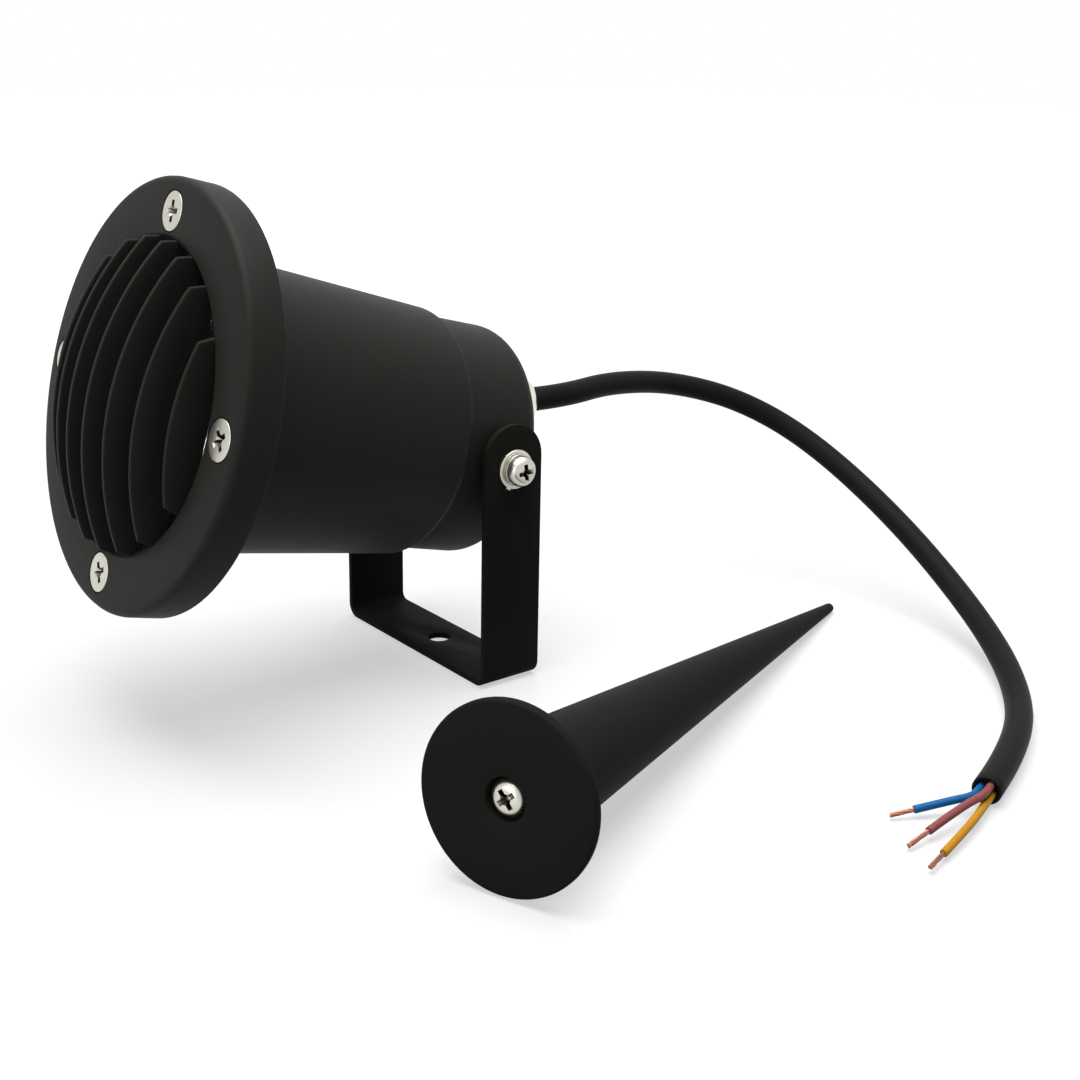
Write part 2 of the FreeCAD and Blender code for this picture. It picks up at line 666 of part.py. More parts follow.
# ---------------------------------------------------------------- tubes along a route
def tube(points, radius):
    """A round tube on straight runs joined by tangent arcs; it prints its tightest arc."""
    points = [FreeCAD.Vector(*point) for point in points]
    edges = []
    tightest = None
    start = points[0]
    for before, corner, after in zip(points, points[1:], points[2:]):
        incoming = corner - before
        outgoing = after - corner
        half_turn = incoming.getAngle(outgoing) / 2
        trim = 0.45 * min(incoming.Length, outgoing.Length)
        arc_radius = trim / math.tan(half_turn)
        tightest = arc_radius if tightest is None else min(tightest, arc_radius)
        incoming.normalize()
        outgoing.normalize()
        enter = corner - incoming * trim
        leave = corner + outgoing * trim
        inward = (outgoing - incoming).normalize()
        middle = corner + inward * (arc_radius / math.cos(half_turn) - arc_radius)
        edges.append(Part.LineSegment(start, enter).toShape())
        edges.append(Part.Arc(enter, middle, leave).toShape())
        start = leave
    edges.append(Part.LineSegment(start, points[-1]).toShape())
    path = Part.Wire(edges)
    section = Part.Wire(Part.Circle(points[0], points[1] - points[0], radius).toShape())
    solid = path.makePipeShell([section], True, False)
    if isinstance(solid, Part.Compound):
        solid = solid.Solids[0]
    if tightest is not None:
        print(f"tube radius {radius:.2f}: length {path.Length:.1f}, tightest arc {tightest:.1f}, "
              f"volume ratio {solid.Volume / (math.pi * radius ** 2 * path.Length):.4f}")
    return solid


def routed(name, points, radius):
    feature = doc.addObject("Part::Feature", name)
    feature.Shape = tube(points, radius)
    return feature


def now(value):
    return size(value).value


def gland_point(out, across=0, rise=0):
    """A point of the head frame on the gland's axis, so far out of the housing."""
    tilt = math.radians(now("gland_tilt"))
    return (across, now("gland_rise") + out * math.sin(tilt) + rise * math.cos(tilt),
            now(rear) - out * math.cos(tilt) + rise * math.sin(tilt))


def to_row(point):
    """A point of the head frame in the row frame."""
    pitch = math.radians(now("head_angle"))
    x, y, z = point
    up = now("pivot_drop") + y
    return (x, up * math.sin(pitch) - z * math.cos(pitch),
            now("pivot_height") + up * math.cos(pitch) + z * math.sin(pitch))


def make_inner_leads():
    """Cores from the gland to the terminals and the earth tag, and leads up to the holder."""
    radius = now("lead_radius")
    inner = -now("stem_end")
    entry_y = now(block_place + size("block_width") / 2)
    entry_z = now(block_seat + "entry_height")
    leads = []
    for name, sign in (("inner_core_brown", 1), ("inner_core_blue", -1)):
        aside, lift = now("core_aside") * sign, now("core_lift")
        leads.append(routed(name, [
            gland_point(inner, aside, lift), gland_point(inner - now("core_run"), aside, lift),
            (now("core_turn_x") * sign, entry_y + now("core_turn_y"),
             entry_z + now("core_turn_z")),
            (now(pole) * sign, entry_y + now("core_level"), entry_z),
            (now(pole) * sign, entry_y - now("core_entry"), entry_z)], radius))
    tag_x = now(earth_x)
    tag_y = now(earth_y + "tag_tongue" + "earth_entry")
    tag_z = now(earth_seat + "crimp_height")
    drop = -now("earth_drop")
    leads.append(routed("inner_core_earth", [
        gland_point(inner, rise=drop), gland_point(inner - now("earth_run"), rise=drop),
        (tag_x / 2, now(earth_y + "earth_turn"), tag_z),
        (tag_x, tag_y + now("earth_level"), tag_z), (tag_x, tag_y, tag_z)], radius))
    for name, sign, bend in (("holder_lead_brown", 1, "brown_turn"),
                             ("holder_lead_blue", -1, "blue_turn")):
        place = now("lead_place") * sign
        down_y = now(block_place - "top_bore_place")
        leads.append(routed(name, [
            (place, place, now(holder_back)), (place, place, now(holder_back - "lead_run")),
            (now("lead_turn_x") * sign, now(block_place + bend), now(post_top - "lead_under")),
            (now(pole) * sign, down_y, now(block_top + "lead_above")),
            (now(pole) * sign, down_y, now(block_top - "lead_entry"))], radius))
    for lead in leads:
        in_head(lead)
    return leads


# ---------------------------------------------------------------- cable gland
washer_out = size("gland_boss_out") + "gland_washer_thickness"
flange_out = washer_out + "gland_flange"
collar_out = flange_out + "gland_collar"
gland_end = flange_out + "gland_nut"


def make_gland_washer():
    return on_gland(ring("gland_washer", "gland_washer", size("gland_stem") + "screw_clearance",
                         "gland_boss_out", washer_out))


def make_gland_body():
    stem = rod("gland_stem", "gland_stem", washer_out + "stem_end", z=-size("stem_end"))
    collar = rod("gland_collar", size("gland_stem") + "collar_lip", "gland_collar", z=flange_out)
    flange = hexagon("gland_flange", "hex_radius", "gland_flange", z=washer_out)
    bore = rod("gland_through", "gland_bore", collar_out + "stem_end" + OVERRUN * 2,
               z=-(size("stem_end") + OVERRUN))
    return on_gland(cut("gland_body", fused("gland_solid", [stem, flange, collar]), [bore]))


def make_gland_nut():
    """The domed clamping nut: its corners are turned off towards the cord."""
    prism = hexagon("gland_nut_hexagon", "hex_radius", "gland_nut", z=flange_out)
    crown = turned("gland_nut_crown", [
        (0, flange_out), (size("hex_radius") + "collar_lip", flange_out),
        (size("hex_radius") + "collar_lip", gland_end - "crown_height"),
        (size("cord_radius") + "crown_lip", gland_end), (0, gland_end)], {2: "crown_round"})
    shape = common("gland_nut_shape", prism, crown)
    pocket = rod("gland_nut_thread", size("gland_stem") + "collar_lip" + "screw_clearance",
                 size("gland_nut") - "gland_end_wall" + OVERRUN, z=flange_out - OVERRUN)
    eye = rod("gland_nut_eye", size("cord_radius") + "seal_clearance",
              size("gland_nut") + OVERRUN, z=flange_out)
    return on_gland(cut("gland_nut", shape, [pocket, eye]))


def make_gland_seal():
    """The rubber bush that the nut presses onto the cord."""
    return on_gland(ring("gland_seal", size("gland_bore") - "screw_clearance", "cord_radius",
                         flange_out - "gland_flange", collar_out))


def make_gland_locknut():
    low = -size("gland_boss_in") - "locknut"
    nut = hexagon("locknut_blank", "hex_radius", "locknut", z=low)
    bore = rod("locknut_bore", size("gland_stem") + "screw_clearance",
               size("locknut") + OVERRUN * 2, z=low - OVERRUN)
    return on_gland(cut("gland_locknut", nut, [bore]))


def make_cord_tail():
    """The sheath's inner end, from the gland's outer face to its stem's inner end."""
    bar = rod("cord_inner_bar", "cord_radius", gland_end + "stem_end", z=-size("stem_end"))
    return on_gland(group("cord_inner_end", [bar]))


# ---------------------------------------------------------------- cord beside the lamp
def make_cord():
    exit_point = FreeCAD.Vector(*to_row(gland_point(now(gland_end))))
    outward = exit_point - FreeCAD.Vector(*to_row(gland_point(0)))
    outward.normalize()
    second = exit_point + outward * now("cord_exit_run")
    print("cord exit", [round(value, 3) for value in exit_point],
          "second point", [round(value, 3) for value in second])
    return routed("cord", [tuple(exit_point), tuple(second)] + ROUTE, now("cord_radius"))


def make_cores():
    """The cores fanned out of the cord's cut end, each in line with its bare copper end."""
    pieces = []
    copper = []
    cord_end = FreeCAD.Vector(*ROUTE[-1])
    outward = (cord_end - FreeCAD.Vector(*ROUTE[-2])).normalize()
    sideways = outward.cross(FreeCAD.Vector(0, 0, 1)).normalize()
    upward = sideways.cross(outward)
    for name, (angle, points) in CORES.items():
        turned_by = math.radians(angle)
        place = (sideways * math.cos(turned_by) * -1 + upward * math.sin(turned_by))
        start = cord_end + place * now("core_circle")
        second = start + outward * now("core_start")
        route = [tuple(start), tuple(second)] + points
        pieces.append(routed(name, route, now("core_radius")))
        end = FreeCAD.Vector(*points[-1])
        strand = doc.addObject("Part::Feature", f"{name}_copper")
        strand.Shape = Part.makeCylinder(now("copper_radius"), now("bare_copper"), end,
                                         end - FreeCAD.Vector(*points[-2]))
        copper.append(strand)
    return pieces + [group("copper_ends", copper)]


# ---------------------------------------------------------------- bracket and pivot hardware
def make_bracket():
    """A flat steel strap bent into a U, with round arm tops, two pivot holes and a base hole."""
    half = size("bracket_width") / 2
    strap = size("strap")
    top = size("pivot_height") + "arm_top_rise" + size("arm_width") / 2
    inner = size("bend_radius")
    outer = inner + strap
    strip = extruded("bracket_strip", "XZ_Plane", [
        (-half, top), (-half, outer), (outer - half, 0), (half - outer, 0), (half, outer),
        (half, top), (half - strap, top), (half - strap, outer), (half - outer, strap),
        (outer - half, strap), (strap - half, outer), (strap - half, top)],
        "arm_width", {1: outer, 3: outer, 7: -inner, 9: -inner})
    centre = size("pivot_height") + "arm_top_rise"
    width = size("bracket_width") + OVERRUN * 2
    outline = fused("bracket_side_view", [
        rod("arm_top", size("arm_width") / 2, width, x=-(width / 2), z=centre, axis=(0, 1, 0),
            angle=90),
        block("arm_side", width, "arm_width", centre + OVERRUN, z=-OVERRUN)])
    bent = common("bracket_bent", strip, outline)
    pivot_hole = rod("pivot_hole", size("screw_shank") + "hole_clearance", width,
                     x=-(width / 2), z="pivot_height", axis=(0, 1, 0), angle=90)
    base_hole = rod("base_hole", "base_hole", strap + OVERRUN * 2, z=-OVERRUN)
    return cut("bracket", bent, [pivot_hole, base_hole])


arm_face = size("bracket_width") / 2
washer_face = arm_face + "arm_clearance"
spring_face = washer_face + "washer_thickness"
head_face = spring_face + "spring_washer_thickness"


def to_side(thing, sign, distance):
    """Turns a piece made along z so that it points out of one arm, at the pivot."""
    turn(thing, (0, 1, 0), 90.0 * sign)
    return move(thing, size(distance) * sign, 0, "pivot_height")


def make_pivot_screws():
    """Pan-head machine screws through the arms into the housing's bosses."""
    screws = []
    shank = head_face - (boss_face - "boss_depth") - "shank_gap"
    height = size("pan_height")
    for side, sign in (("right", 1), ("left", -1)):
        blank = turned(f"pivot_screw_blank_{side}", [
            (0, -shank), ("screw_shank", -shank), ("screw_shank", 0), ("pan_radius", 0),
            ("pan_radius", "pan_edge"), ("pan_top", height), (0, height)], {4: "pan_round"})
        screw = cut(f"pivot_screw_{side}", blank, [cross(f"pivot_cross_{side}", height)])
        screws.append(to_side(screw, sign, head_face))
    return group("pivot_screws", screws)


def make_flat_washers():
    return group("flat_washers", [
        to_side(ring(f"flat_washer_{side}", "washer_radius", "washer_bore", 0,
                     "washer_thickness"), sign, washer_face)
        for side, sign in (("right", 1), ("left", -1))])


def make_spring_washers():
    """Split rings, cut through on one side."""
    washers = []
    for side, sign in (("right", 1), ("left", -1)):
        blank = ring(f"spring_blank_{side}", "spring_washer_radius", "washer_bore", 0,
                     "spring_washer_thickness")
        gap = block(f"spring_gap_{side}", "spring_washer_radius", "spring_washer_gap",
                    size("spring_washer_thickness") + OVERRUN * 2,
                    x=-size("spring_washer_radius"), z=-OVERRUN)
        washers.append(to_side(cut(f"spring_washer_{side}", blank, [gap]), sign, spring_face))
    return group("spring_washers", washers)


# ---------------------------------------------------------------- spike
def lie_down(thing, along=0):
    """Lays a piece made on the spike's axis, z towards the tip, on its disc's rim and its tip."""
    disc, length, tip = now("disc_radius"), now("cone_length"), now("tip_radius")
    span = math.hypot(disc, length - tip)
    dip = math.atan2(disc, length - tip) - math.asin(tip / span)
    heading = math.radians(now("spike_heading"))
    axis = FreeCAD.Vector(math.cos(heading) * math.cos(dip), math.sin(heading) * math.cos(dip),
                          -math.sin(dip))
    back = FreeCAD.Vector(now("spike_x"), now("spike_y"), disc * math.cos(dip))
    thing.Placement = FreeCAD.Placement(back + axis * along,
                                        FreeCAD.Rotation(FreeCAD.Vector(0, 0, 1), axis))
    return thing


def make_spike():
    """One moulding: a disc with a rounded back edge and a long round cone to a blunt tip."""
    disc = size("disc_radius")
    thick = size("disc_thickness")
    bend = size("disc_round")
    length = size("cone_length")
    tip = size("tip_radius")
    edge = size("disc_edge")
    moulding = turned("spike_moulding", [
        (0, -thick), (disc - edge, -thick), (disc, edge - thick), (disc, -bend),
        (disc - bend, 0), ("cone_radius", 0), (tip, length - tip), (0, length)],
        {1: edge, 3: bend, 6: tip})
    sink = rod("spike_sink", "sink_radius", "sink_depth", z=-thick)
    pocket = rod("spike_pocket", size("insert_radius") + "screw_clearance",
                 size("insert_length") + "sink_depth", z=-thick)
    return lie_down(cut("spike", moulding, [sink, pocket]))


def make_spike_insert():
    low = size("sink_depth") - "disc_thickness"
    return lie_down(group("spike_insert", [
        ring("insert_bush", "insert_radius", size("screw_shank") + "screw_clearance", low,
             low + "insert_length")]))


def make_spike_screw():
    """The screw that fixes the bracket's base hole to the spike, kept in its insert."""
    seat = size("sink_depth") - "disc_thickness"
    low = seat - "pan_height"
    end = seat + "spike_screw_length"
    blank = turned("spike_screw_blank", [
        (0, low), ("pan_top", low), ("pan_radius", seat - "pan_edge"), ("pan_radius", seat),
        ("screw_shank", seat), ("screw_shank", end), (0, end)], {1: "pan_round"})
    recess = cross("spike_cross", low + "cross_depth" - OVERRUN)
    return lie_down(cut("spike_screw", blank, [recess]))


# ---------------------------------------------------------------- the whole
PIECES = [make_bezel(), make_bezel_screws(), make_lens(), make_lens_gasket(), make_housing(),
          make_lamp_reflector(), make_lamp_front(), make_lamp_base(), make_lamp_pins(),
          make_lampholder(), make_holder_plate(), make_plate_screws(), make_holder_screws(),
          make_terminal_block(), make_terminal_screws(), make_earth_tag(), make_earth_screw(),
          make_gland_washer(), make_gland_body(), make_gland_nut(), make_gland_seal(),
          make_gland_locknut(), make_cord_tail(), make_cord(), make_bracket(),
          make_pivot_screws(), make_flat_washers(), make_spring_washers(), make_spike(),
          make_spike_insert(), make_spike_screw()]
PIECES += make_inner_leads() + make_cores()


def check_and_export():
    doc.recompute()
    faults = [item.Name for item in doc.Objects
              if "Invalid" in item.State or "Error" in item.State]
    for piece in PIECES:
        if piece.Shape.isNull() or not piece.Shape.isValid() or not piece.Shape.Solids:
            faults.append(f"{piece.Name} shape")
    if faults:
        sys.exit(f"failed: {faults}")
    os.makedirs("parts", exist_ok=True)
    for piece in PIECES:
        piece.Label = piece.Name
        piece.Shape.exportStep(f"parts/{piece.Label}.step")
        box = piece.Shape.BoundBox
        print(f"{piece.Label}: {len(piece.Shape.Solids)} solid, {piece.Shape.Volume:.0f} mm3, "
              f"x {box.XMin:.1f}..{box.XMax:.1f}, y {box.YMin:.1f}..{box.YMax:.1f}, "
              f"z {box.ZMin:.1f}..{box.ZMax:.1f}")


check_and_export()
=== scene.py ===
import json
import math

import bmesh
import bpy
from bpy.props import FloatProperty, FloatVectorProperty, IntProperty, PointerProperty
from mathutils import Matrix, Vector


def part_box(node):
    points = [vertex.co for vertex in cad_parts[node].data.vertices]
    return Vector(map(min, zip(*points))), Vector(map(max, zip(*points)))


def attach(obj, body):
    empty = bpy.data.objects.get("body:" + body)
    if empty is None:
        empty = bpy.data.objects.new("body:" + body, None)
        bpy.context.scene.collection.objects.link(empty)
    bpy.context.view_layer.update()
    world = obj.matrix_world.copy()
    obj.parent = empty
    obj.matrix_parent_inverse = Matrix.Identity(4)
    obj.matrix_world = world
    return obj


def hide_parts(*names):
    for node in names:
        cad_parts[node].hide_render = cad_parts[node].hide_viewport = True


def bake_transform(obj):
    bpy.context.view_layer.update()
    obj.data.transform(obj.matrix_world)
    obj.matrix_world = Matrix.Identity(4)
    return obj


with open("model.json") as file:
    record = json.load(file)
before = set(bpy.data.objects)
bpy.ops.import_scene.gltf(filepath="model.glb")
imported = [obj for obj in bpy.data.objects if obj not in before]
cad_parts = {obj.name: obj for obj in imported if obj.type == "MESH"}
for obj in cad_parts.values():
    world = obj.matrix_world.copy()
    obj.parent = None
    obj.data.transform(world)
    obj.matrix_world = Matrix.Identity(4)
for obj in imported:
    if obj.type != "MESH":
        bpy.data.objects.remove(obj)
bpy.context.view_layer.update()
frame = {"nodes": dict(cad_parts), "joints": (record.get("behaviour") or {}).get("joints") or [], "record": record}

bl_info = {
    "name": "Garden spike spotlight",
    "version": (1, 0, 0),
    "blender": (4, 5, 0),
    "location": "View3D > Sidebar > Spotlight",
    "description": "Dresses a garden spotlight, its bracket, cord and ground spike",
    "category": "Object",
}

MM = 0.001
TURN = 2 * math.pi
# Steps round a large and a small turned shape.
ROUND_STEPS = 128
SMALL_STEPS = 64


# ---- sizes and colours
def length(name, description, default):
    return FloatProperty(name=name, description=description, default=default * MM, min=0,
                         unit="LENGTH", subtype="DISTANCE")


def angle(name, description, default):
    return FloatProperty(name=name, description=description, default=math.radians(default),
                         subtype="ANGLE")


def colour(name, description, default):
    return FloatVectorProperty(name=name, description=description, default=default, size=3,
                               min=0, max=1, subtype="COLOR")


class HeadSizes(bpy.types.PropertyGroup):
    pitch: angle("Pitch", "How far the lamp looks up at rest", 14.5)
    axis_lift: length("Axis lift", "From the pivot up to the head's axis", 1.4)
    face: length("Face", "From the pivot to the bezel's front face", 77.7)
    bezel_depth: length("Bezel depth", "Length of the bezel's side", 8.3)
    front_wall: length("Front wall", "Thickness of the bezel's front", 5.0)
    skirt_wall: length("Skirt wall", "Thickness of the bezel's skirt", 2.1)
    bezel_round: length("Bezel rounding", "Rounding of the bezel's front edge", 1.6)
    opening: length("Opening radius", "Inner radius of the bezel", 31.7)
    lip: length("Lip", "Bevel round the opening", 1.3)
    ledge: length("Ledge depth", "From the bezel's face to the glass", 2.4)
    fin_spacing: length("Fin spacing", "From fin to fin", 7.9)
    fin_thickness: length("Fin thickness", "Thickness of a fin at its root", 1.55)
    fin_crest: length("Fin crest", "Thickness of a fin at its crest", 1.05)
    fin_root: length("Fin root", "How far a fin's foot runs into the ring", 0.95)
    fin_end_root: length("Fin end root", "How far a fin's end stands over the ring", 0.3)
    dome: length("Dome height", "Highest fin's height in front of the face", 11.75)
    fin_end: length("Fin end height", "Height of a fin's end in front of the face", 2.85)
    fins: IntProperty(name="Fins", description="Number of fins", default=8, min=1, max=15)
    bezel_turn: angle("Bezel turn", "How the bezel sits on its screws, about its axis", -2.0)
    screw_circle: length("Screw circle", "Radius of the bezel's screw circle", 37.8)
    barrel_front: length("Barrel front radius", "Barrel's radius behind the bezel", 31.8)
    barrel_rear: length("Barrel rear radius", "Barrel's radius at the step", 28.7)
    step: length("Step reach", "From the pivot forward to the barrel's step", 13.0)
    tail: length("Tail radius", "Radius behind the step", 27.2)
    rear: length("Rear reach", "From the pivot back to the flat back", 8.2)
    shoulder: length("Shoulder", "Rounding of the back", 4.2)
    wall: length("Wall", "Thickness of the barrel's wall", 2.6)
    gland_rise: length("Gland rise", "From the head's axis up to the gland", 8.2)
    gland_tilt: angle("Gland tilt", "How far the gland points up from the axis", 12.0)


class BracketSizes(bpy.types.PropertyGroup):
    bend: length("Bend radius", "Inner radius of the strap's bends", 1.8)
    edge: length("Edge rounding", "Rounding of the strap's edges", 0.28)
    pivot_hole: length("Pivot hole radius", "Radius of the arms' holes", 2.08)
    boss_face: length("Boss face", "From the middle to the housing's pivot boss face", 27.65)


class SpikeSizes(bpy.types.PropertyGroup):
    disc: length("Disc radius", "Radius of the spike's disc", 17.7)
    thickness: length("Disc thickness", "Thickness of the disc", 3.0)
    cone: length("Cone radius", "Radius of the spike under its disc", 10.8)
    reach: length("Reach", "From the disc's back to the tip", 159.6)
    tip: length("Tip radius", "Radius of the blunt tip", 1.2)
    sink: length("Sink radius", "Radius of the screw's sunk seat", 4.1)
    sink_depth: length("Sink depth", "Depth of the screw's sunk seat", 2.4)
    heading: angle("Heading", "Direction that the tip points to, from +X", 110.6)


class CordSizes(bpy.types.PropertyGroup):
    diameter: length("Cord diameter", "Diameter of the sheath", 6.0)
    core: length("Core diameter", "Diameter of a core's insulation", 1.6)
    copper: length("Copper diameter", "Diameter of a core's bundle of strands", 0.95)


class Colours(bpy.types.PropertyGroup):
    coat: colour("Powder coat", "Coat of the head and the bracket", (0.0112, 0.0118, 0.0096))
    plastic: colour("Spike plastic", "Moulded plastic of the spike", (0.0112, 0.0119, 0.0103))
    rubber: colour("Cord rubber", "Sheath of the cord", (0.0080, 0.0086, 0.0078))
    nickel: colour("Nickel", "Plated screws and washers", (0.58, 0.565, 0.50))
    blue: colour("Blue core", "Insulation of the blue core", (0.003, 0.085, 0.25))
    brown: colour("Brown core", "Insulation of the brown core", (0.20, 0.055, 0.055))
    yellow: colour("Earth core yellow", "Ground colour of the earth core", (0.40, 0.18, 0.005))
    green: colour("Earth core green", "Stripe of the earth core", (0.03, 0.11, 0.02))
    copper: colour("Copper", "Bare strands", (0.34, 0.145, 0.10))


# ---- shader expressions
class Wire:
    """One output of a node tree. Sums and products of wires add the Math nodes for them."""

    def __init__(self, paint, socket):
        self.paint = paint
        self.socket = socket

    def __add__(self, other):
        return self.paint.maths("ADD", self, other)

    def __sub__(self, other):
        return self.paint.maths("SUBTRACT", self, other)

    def __rsub__(self, other):
        return self.paint.maths("SUBTRACT", other, self)

    def __mul__(self, other):
        return self.paint.maths("MULTIPLY", self, other)

    def __lt__(self, other):
        return self.paint.maths("LESS_THAN", self, other)

    __radd__ = __add__
    __rmul__ = __mul__


class Paint:
    """A finish in the making: its material or world, its node tree and the nodes added to it."""

    def __init__(self, name, shelf="materials"):
        self.block = getattr(bpy.data, shelf).new(name)
        self.block.use_nodes = True
        self.tree = self.block.node_tree
        self.tree.nodes.clear()
        self.place = self.node("ShaderNodeTexCoord", output="Object")

    def node(self, kind, settings=None, inputs=None, output=0):
        """Adds a node: its settings first, then the values or wires of its inputs."""
        node = self.tree.nodes.new(kind)
        for name, value in (settings or {}).items():
            if name == "stops":
                for stop, (position, level) in zip(node.color_ramp.elements, value):
                    stop.position = position
                    stop.color = (level, level, level, 1)
            else:
                setattr(node, name, value)
        for name, value in (inputs or {}).items():
            socket = node.inputs[name]
            if isinstance(value, Wire):
                self.tree.links.new(value.socket, socket)
            elif socket.type == "RGBA":
                socket.default_value = (*value, 1)
            else:
                socket.default_value = value
        return Wire(self, node.outputs[output]) if node.outputs else None

    def maths(self, operation, *values):
        return self.node("ShaderNodeMath", {"operation": operation}, dict(enumerate(values)))

    def noise(self, scale, detail=2.0, place=None, roughness=0.5):
        """Soft noise from 0 to 1, about so many waves to a metre."""
        return self.node("ShaderNodeTexNoise", None,
                         {"Vector": place or self.place, "Scale": scale, "Detail": detail,
                          "Roughness": roughness})

    def stretched(self, factors):
        return self.node("ShaderNodeVectorMath", {"operation": "MULTIPLY"},
                         {0: self.place, 1: factors})

    def ramp(self, value, *stops):
        """Two stops, each a position and a level of grey."""
        return self.node("ShaderNodeValToRGB", {"stops": stops}, {"Fac": value})

    def mix(self, first, second, share):
        return self.node("ShaderNodeMix", {"data_type": "RGBA"}, {0: share, 6: first, 7: second},
                         output=2)

    def tracks(self):
        """The piece's own UV map as two wires, round it and along it."""
        split = self.node("ShaderNodeSeparateXYZ", None,
                          {0: self.node("ShaderNodeUVMap")})
        return split, Wire(self, split.socket.node.outputs[1])

    def dents(self, height, distance, strength):
        return self.node("ShaderNodeBump", None, {"Height": height, "Strength": strength,
                                                  "Distance": distance})

    def finish(self, **surface):
        """Ends in one Principled shader; underscores in the names stand for spaces."""
        inputs = {name.replace("_", " "): value for name, value in surface.items()}
        shader = self.node("ShaderNodeBsdfPrincipled", None, inputs)
        self.node("ShaderNodeOutputMaterial", None, {"Surface": shader})
        return self.block


def shade(colour_value, factor):
    return tuple(min(1.0, part * factor) for part in colour_value)


def powder_coat(name, tint, shine):
    """Satin powder coat: fine orange peel, faint mottling and pale dust on some of it."""
    paint = Paint(name)
    mottle = paint.noise(55, 4)
    peel = paint.noise(900, 2)
    grain = paint.noise(3800, 2)
    dust = paint.ramp(paint.noise(420, 6, roughness=0.7), (0.62, 0.0), (0.78, 1.0))
    base = paint.mix(shade(tint, 0.86), shade(tint, 1.16), mottle)
    base = paint.mix(base, shade(tint, 2.1), dust * 0.22)
    rough = 0.44 + mottle * 0.08 + grain * 0.08
    relief = paint.dents(peel * 0.6 + grain * 0.4, 0.00006, 0.55)
    return paint.finish(Base_Color=base, Roughness=rough, Normal=relief,
                        Specular_IOR_Level=shine)


def moulded_plastic(name, tint):
    """Semi-gloss polypropylene: long flow marks, light scuffs and a faint skin texture."""
    paint = Paint(name)
    flow = paint.noise(30, 3)
    scuffs = paint.ramp(paint.noise(260, 8, paint.stretched((1.0, 0.25, 1.0)), 0.75),
                        (0.60, 0.0), (0.74, 1.0))
    skin = paint.noise(2600, 2)
    base = paint.mix(shade(tint, 0.9), shade(tint, 1.15), flow)
    base = paint.mix(base, shade(tint, 2.2), scuffs * 0.25)
    rough = 0.40 + flow * 0.08 + scuffs * 0.10 + skin * 0.05
    relief = paint.dents(skin * 0.5 + flow * 2.0, 0.00004, 0.5)
    return paint.finish(Base_Color=base, Roughness=rough, Normal=relief,
                        Specular_IOR_Level=0.004)


def plated(name, tint, roughness=0.30):
    """Nickel plating: bright, faintly tarnished, finely marked, with painted shade deep in its recesses."""
    paint = Paint(name)
    tarnish = paint.noise(380, 3)
    marks = paint.noise(6000, 2, paint.stretched((1.0, 0.12, 1.0)))
    base = paint.mix(shade(tint, 0.90), shade(tint, 1.04), tarnish)
    # Painted shade: ambient occlusion darkens the base colour deep in recesses such as the screws' cross.
    openness_for_painted_shade = paint.node("ShaderNodeAmbientOcclusion", {"samples": 8, "only_local": True},
                          {"Distance": 1.2 * MM}, output="AO")
    base = paint.mix(shade(tint, 0.025), base, paint.ramp(openness_for_painted_shade, (0.55, 0.0), (0.92, 1.0)))
    rough = roughness - 0.03 + tarnish * 0.06 + marks * 0.04
    relief = paint.dents(marks, 0.000006, 0.4)
    return paint.finish(Base_Color=base, Roughness=rough, Metallic=1.0, Normal=relief)


def rubber_sheath(name, tint):
    """Extruded rubber: fine lines along the cord, soft sheen and a trace of chalk."""
    paint = Paint(name)
    around, along = paint.tracks()
    lines = paint.noise(1.0, 3, paint.node("ShaderNodeCombineXYZ", None,
                                           {0: around * 46, 1: along * 22}))
    bloom = paint.noise(70, 4)
    skin = paint.noise(3000, 2)
    base = paint.mix(shade(tint, 0.85), shade(tint, 1.5), bloom)
    rough = 0.34 + bloom * 0.10 + lines * 0.06
    relief = paint.dents(lines * 0.7 + skin * 0.3, 0.00005, 0.5)
    return paint.finish(Base_Color=base, Roughness=rough, Normal=relief,
                        Specular_IOR_Level=0.02)


def insulation(name, tint, stripe=None):
    """A core's soft plastic, with a stripe that winds slowly round it where it has two colours."""
    paint = Paint(name)
    around, along = paint.tracks()
    blotch = paint.noise(350, 4)
    base = paint.mix(shade(tint, 0.8), shade(tint, 1.15), blotch)
    if stripe:
        sweep = paint.maths("FRACT", around + along * 3 + 0.74)
        base = paint.mix(base, stripe, (sweep < 0.15) * 0.92)
    rough = 0.36 + blotch * 0.12
    relief = paint.dents(paint.noise(4000, 2), 0.00003, 0.4)
    return paint.finish(Base_Color=base, Roughness=rough, Normal=relief, Specular_IOR_Level=0.12)


def bare_metal(name, tint, roughness, grain=1800):
    """Plain metal: small changes of tone and a fine grain."""
    paint = Paint(name)
    tone = paint.noise(240, 4)
    fine = paint.noise(grain, 3)
    base = paint.mix(shade(tint, 0.72), shade(tint, 1.08), tone)
    relief = paint.dents(fine, 0.00003, 0.5)
    return paint.finish(Base_Color=base, Roughness=roughness - 0.05 + tone * 0.1 + fine * 0.06,
                        Metallic=1.0, Normal=relief)


def plain_body(name, tint, roughness, sheen=0.0):
    """Ceramic, polyamide or rubber of a piece inside the head: speckled and softly uneven."""
    paint = Paint(name)
    tone = paint.noise(160, 4)
    speck = paint.ramp(paint.noise(1500, 4, roughness=0.7), (0.66, 0.0), (0.74, 1.0))
    base = paint.mix(shade(tint, 0.88), shade(tint, 1.06), tone)
    base = paint.mix(base, shade(tint, 0.6), speck * 0.3)
    relief = paint.dents(paint.noise(1200, 3), 0.00004, 0.4)
    return paint.finish(Base_Color=base, Roughness=roughness - 0.04 + tone * 0.08, Normal=relief,
                        Coat_Weight=sheen)


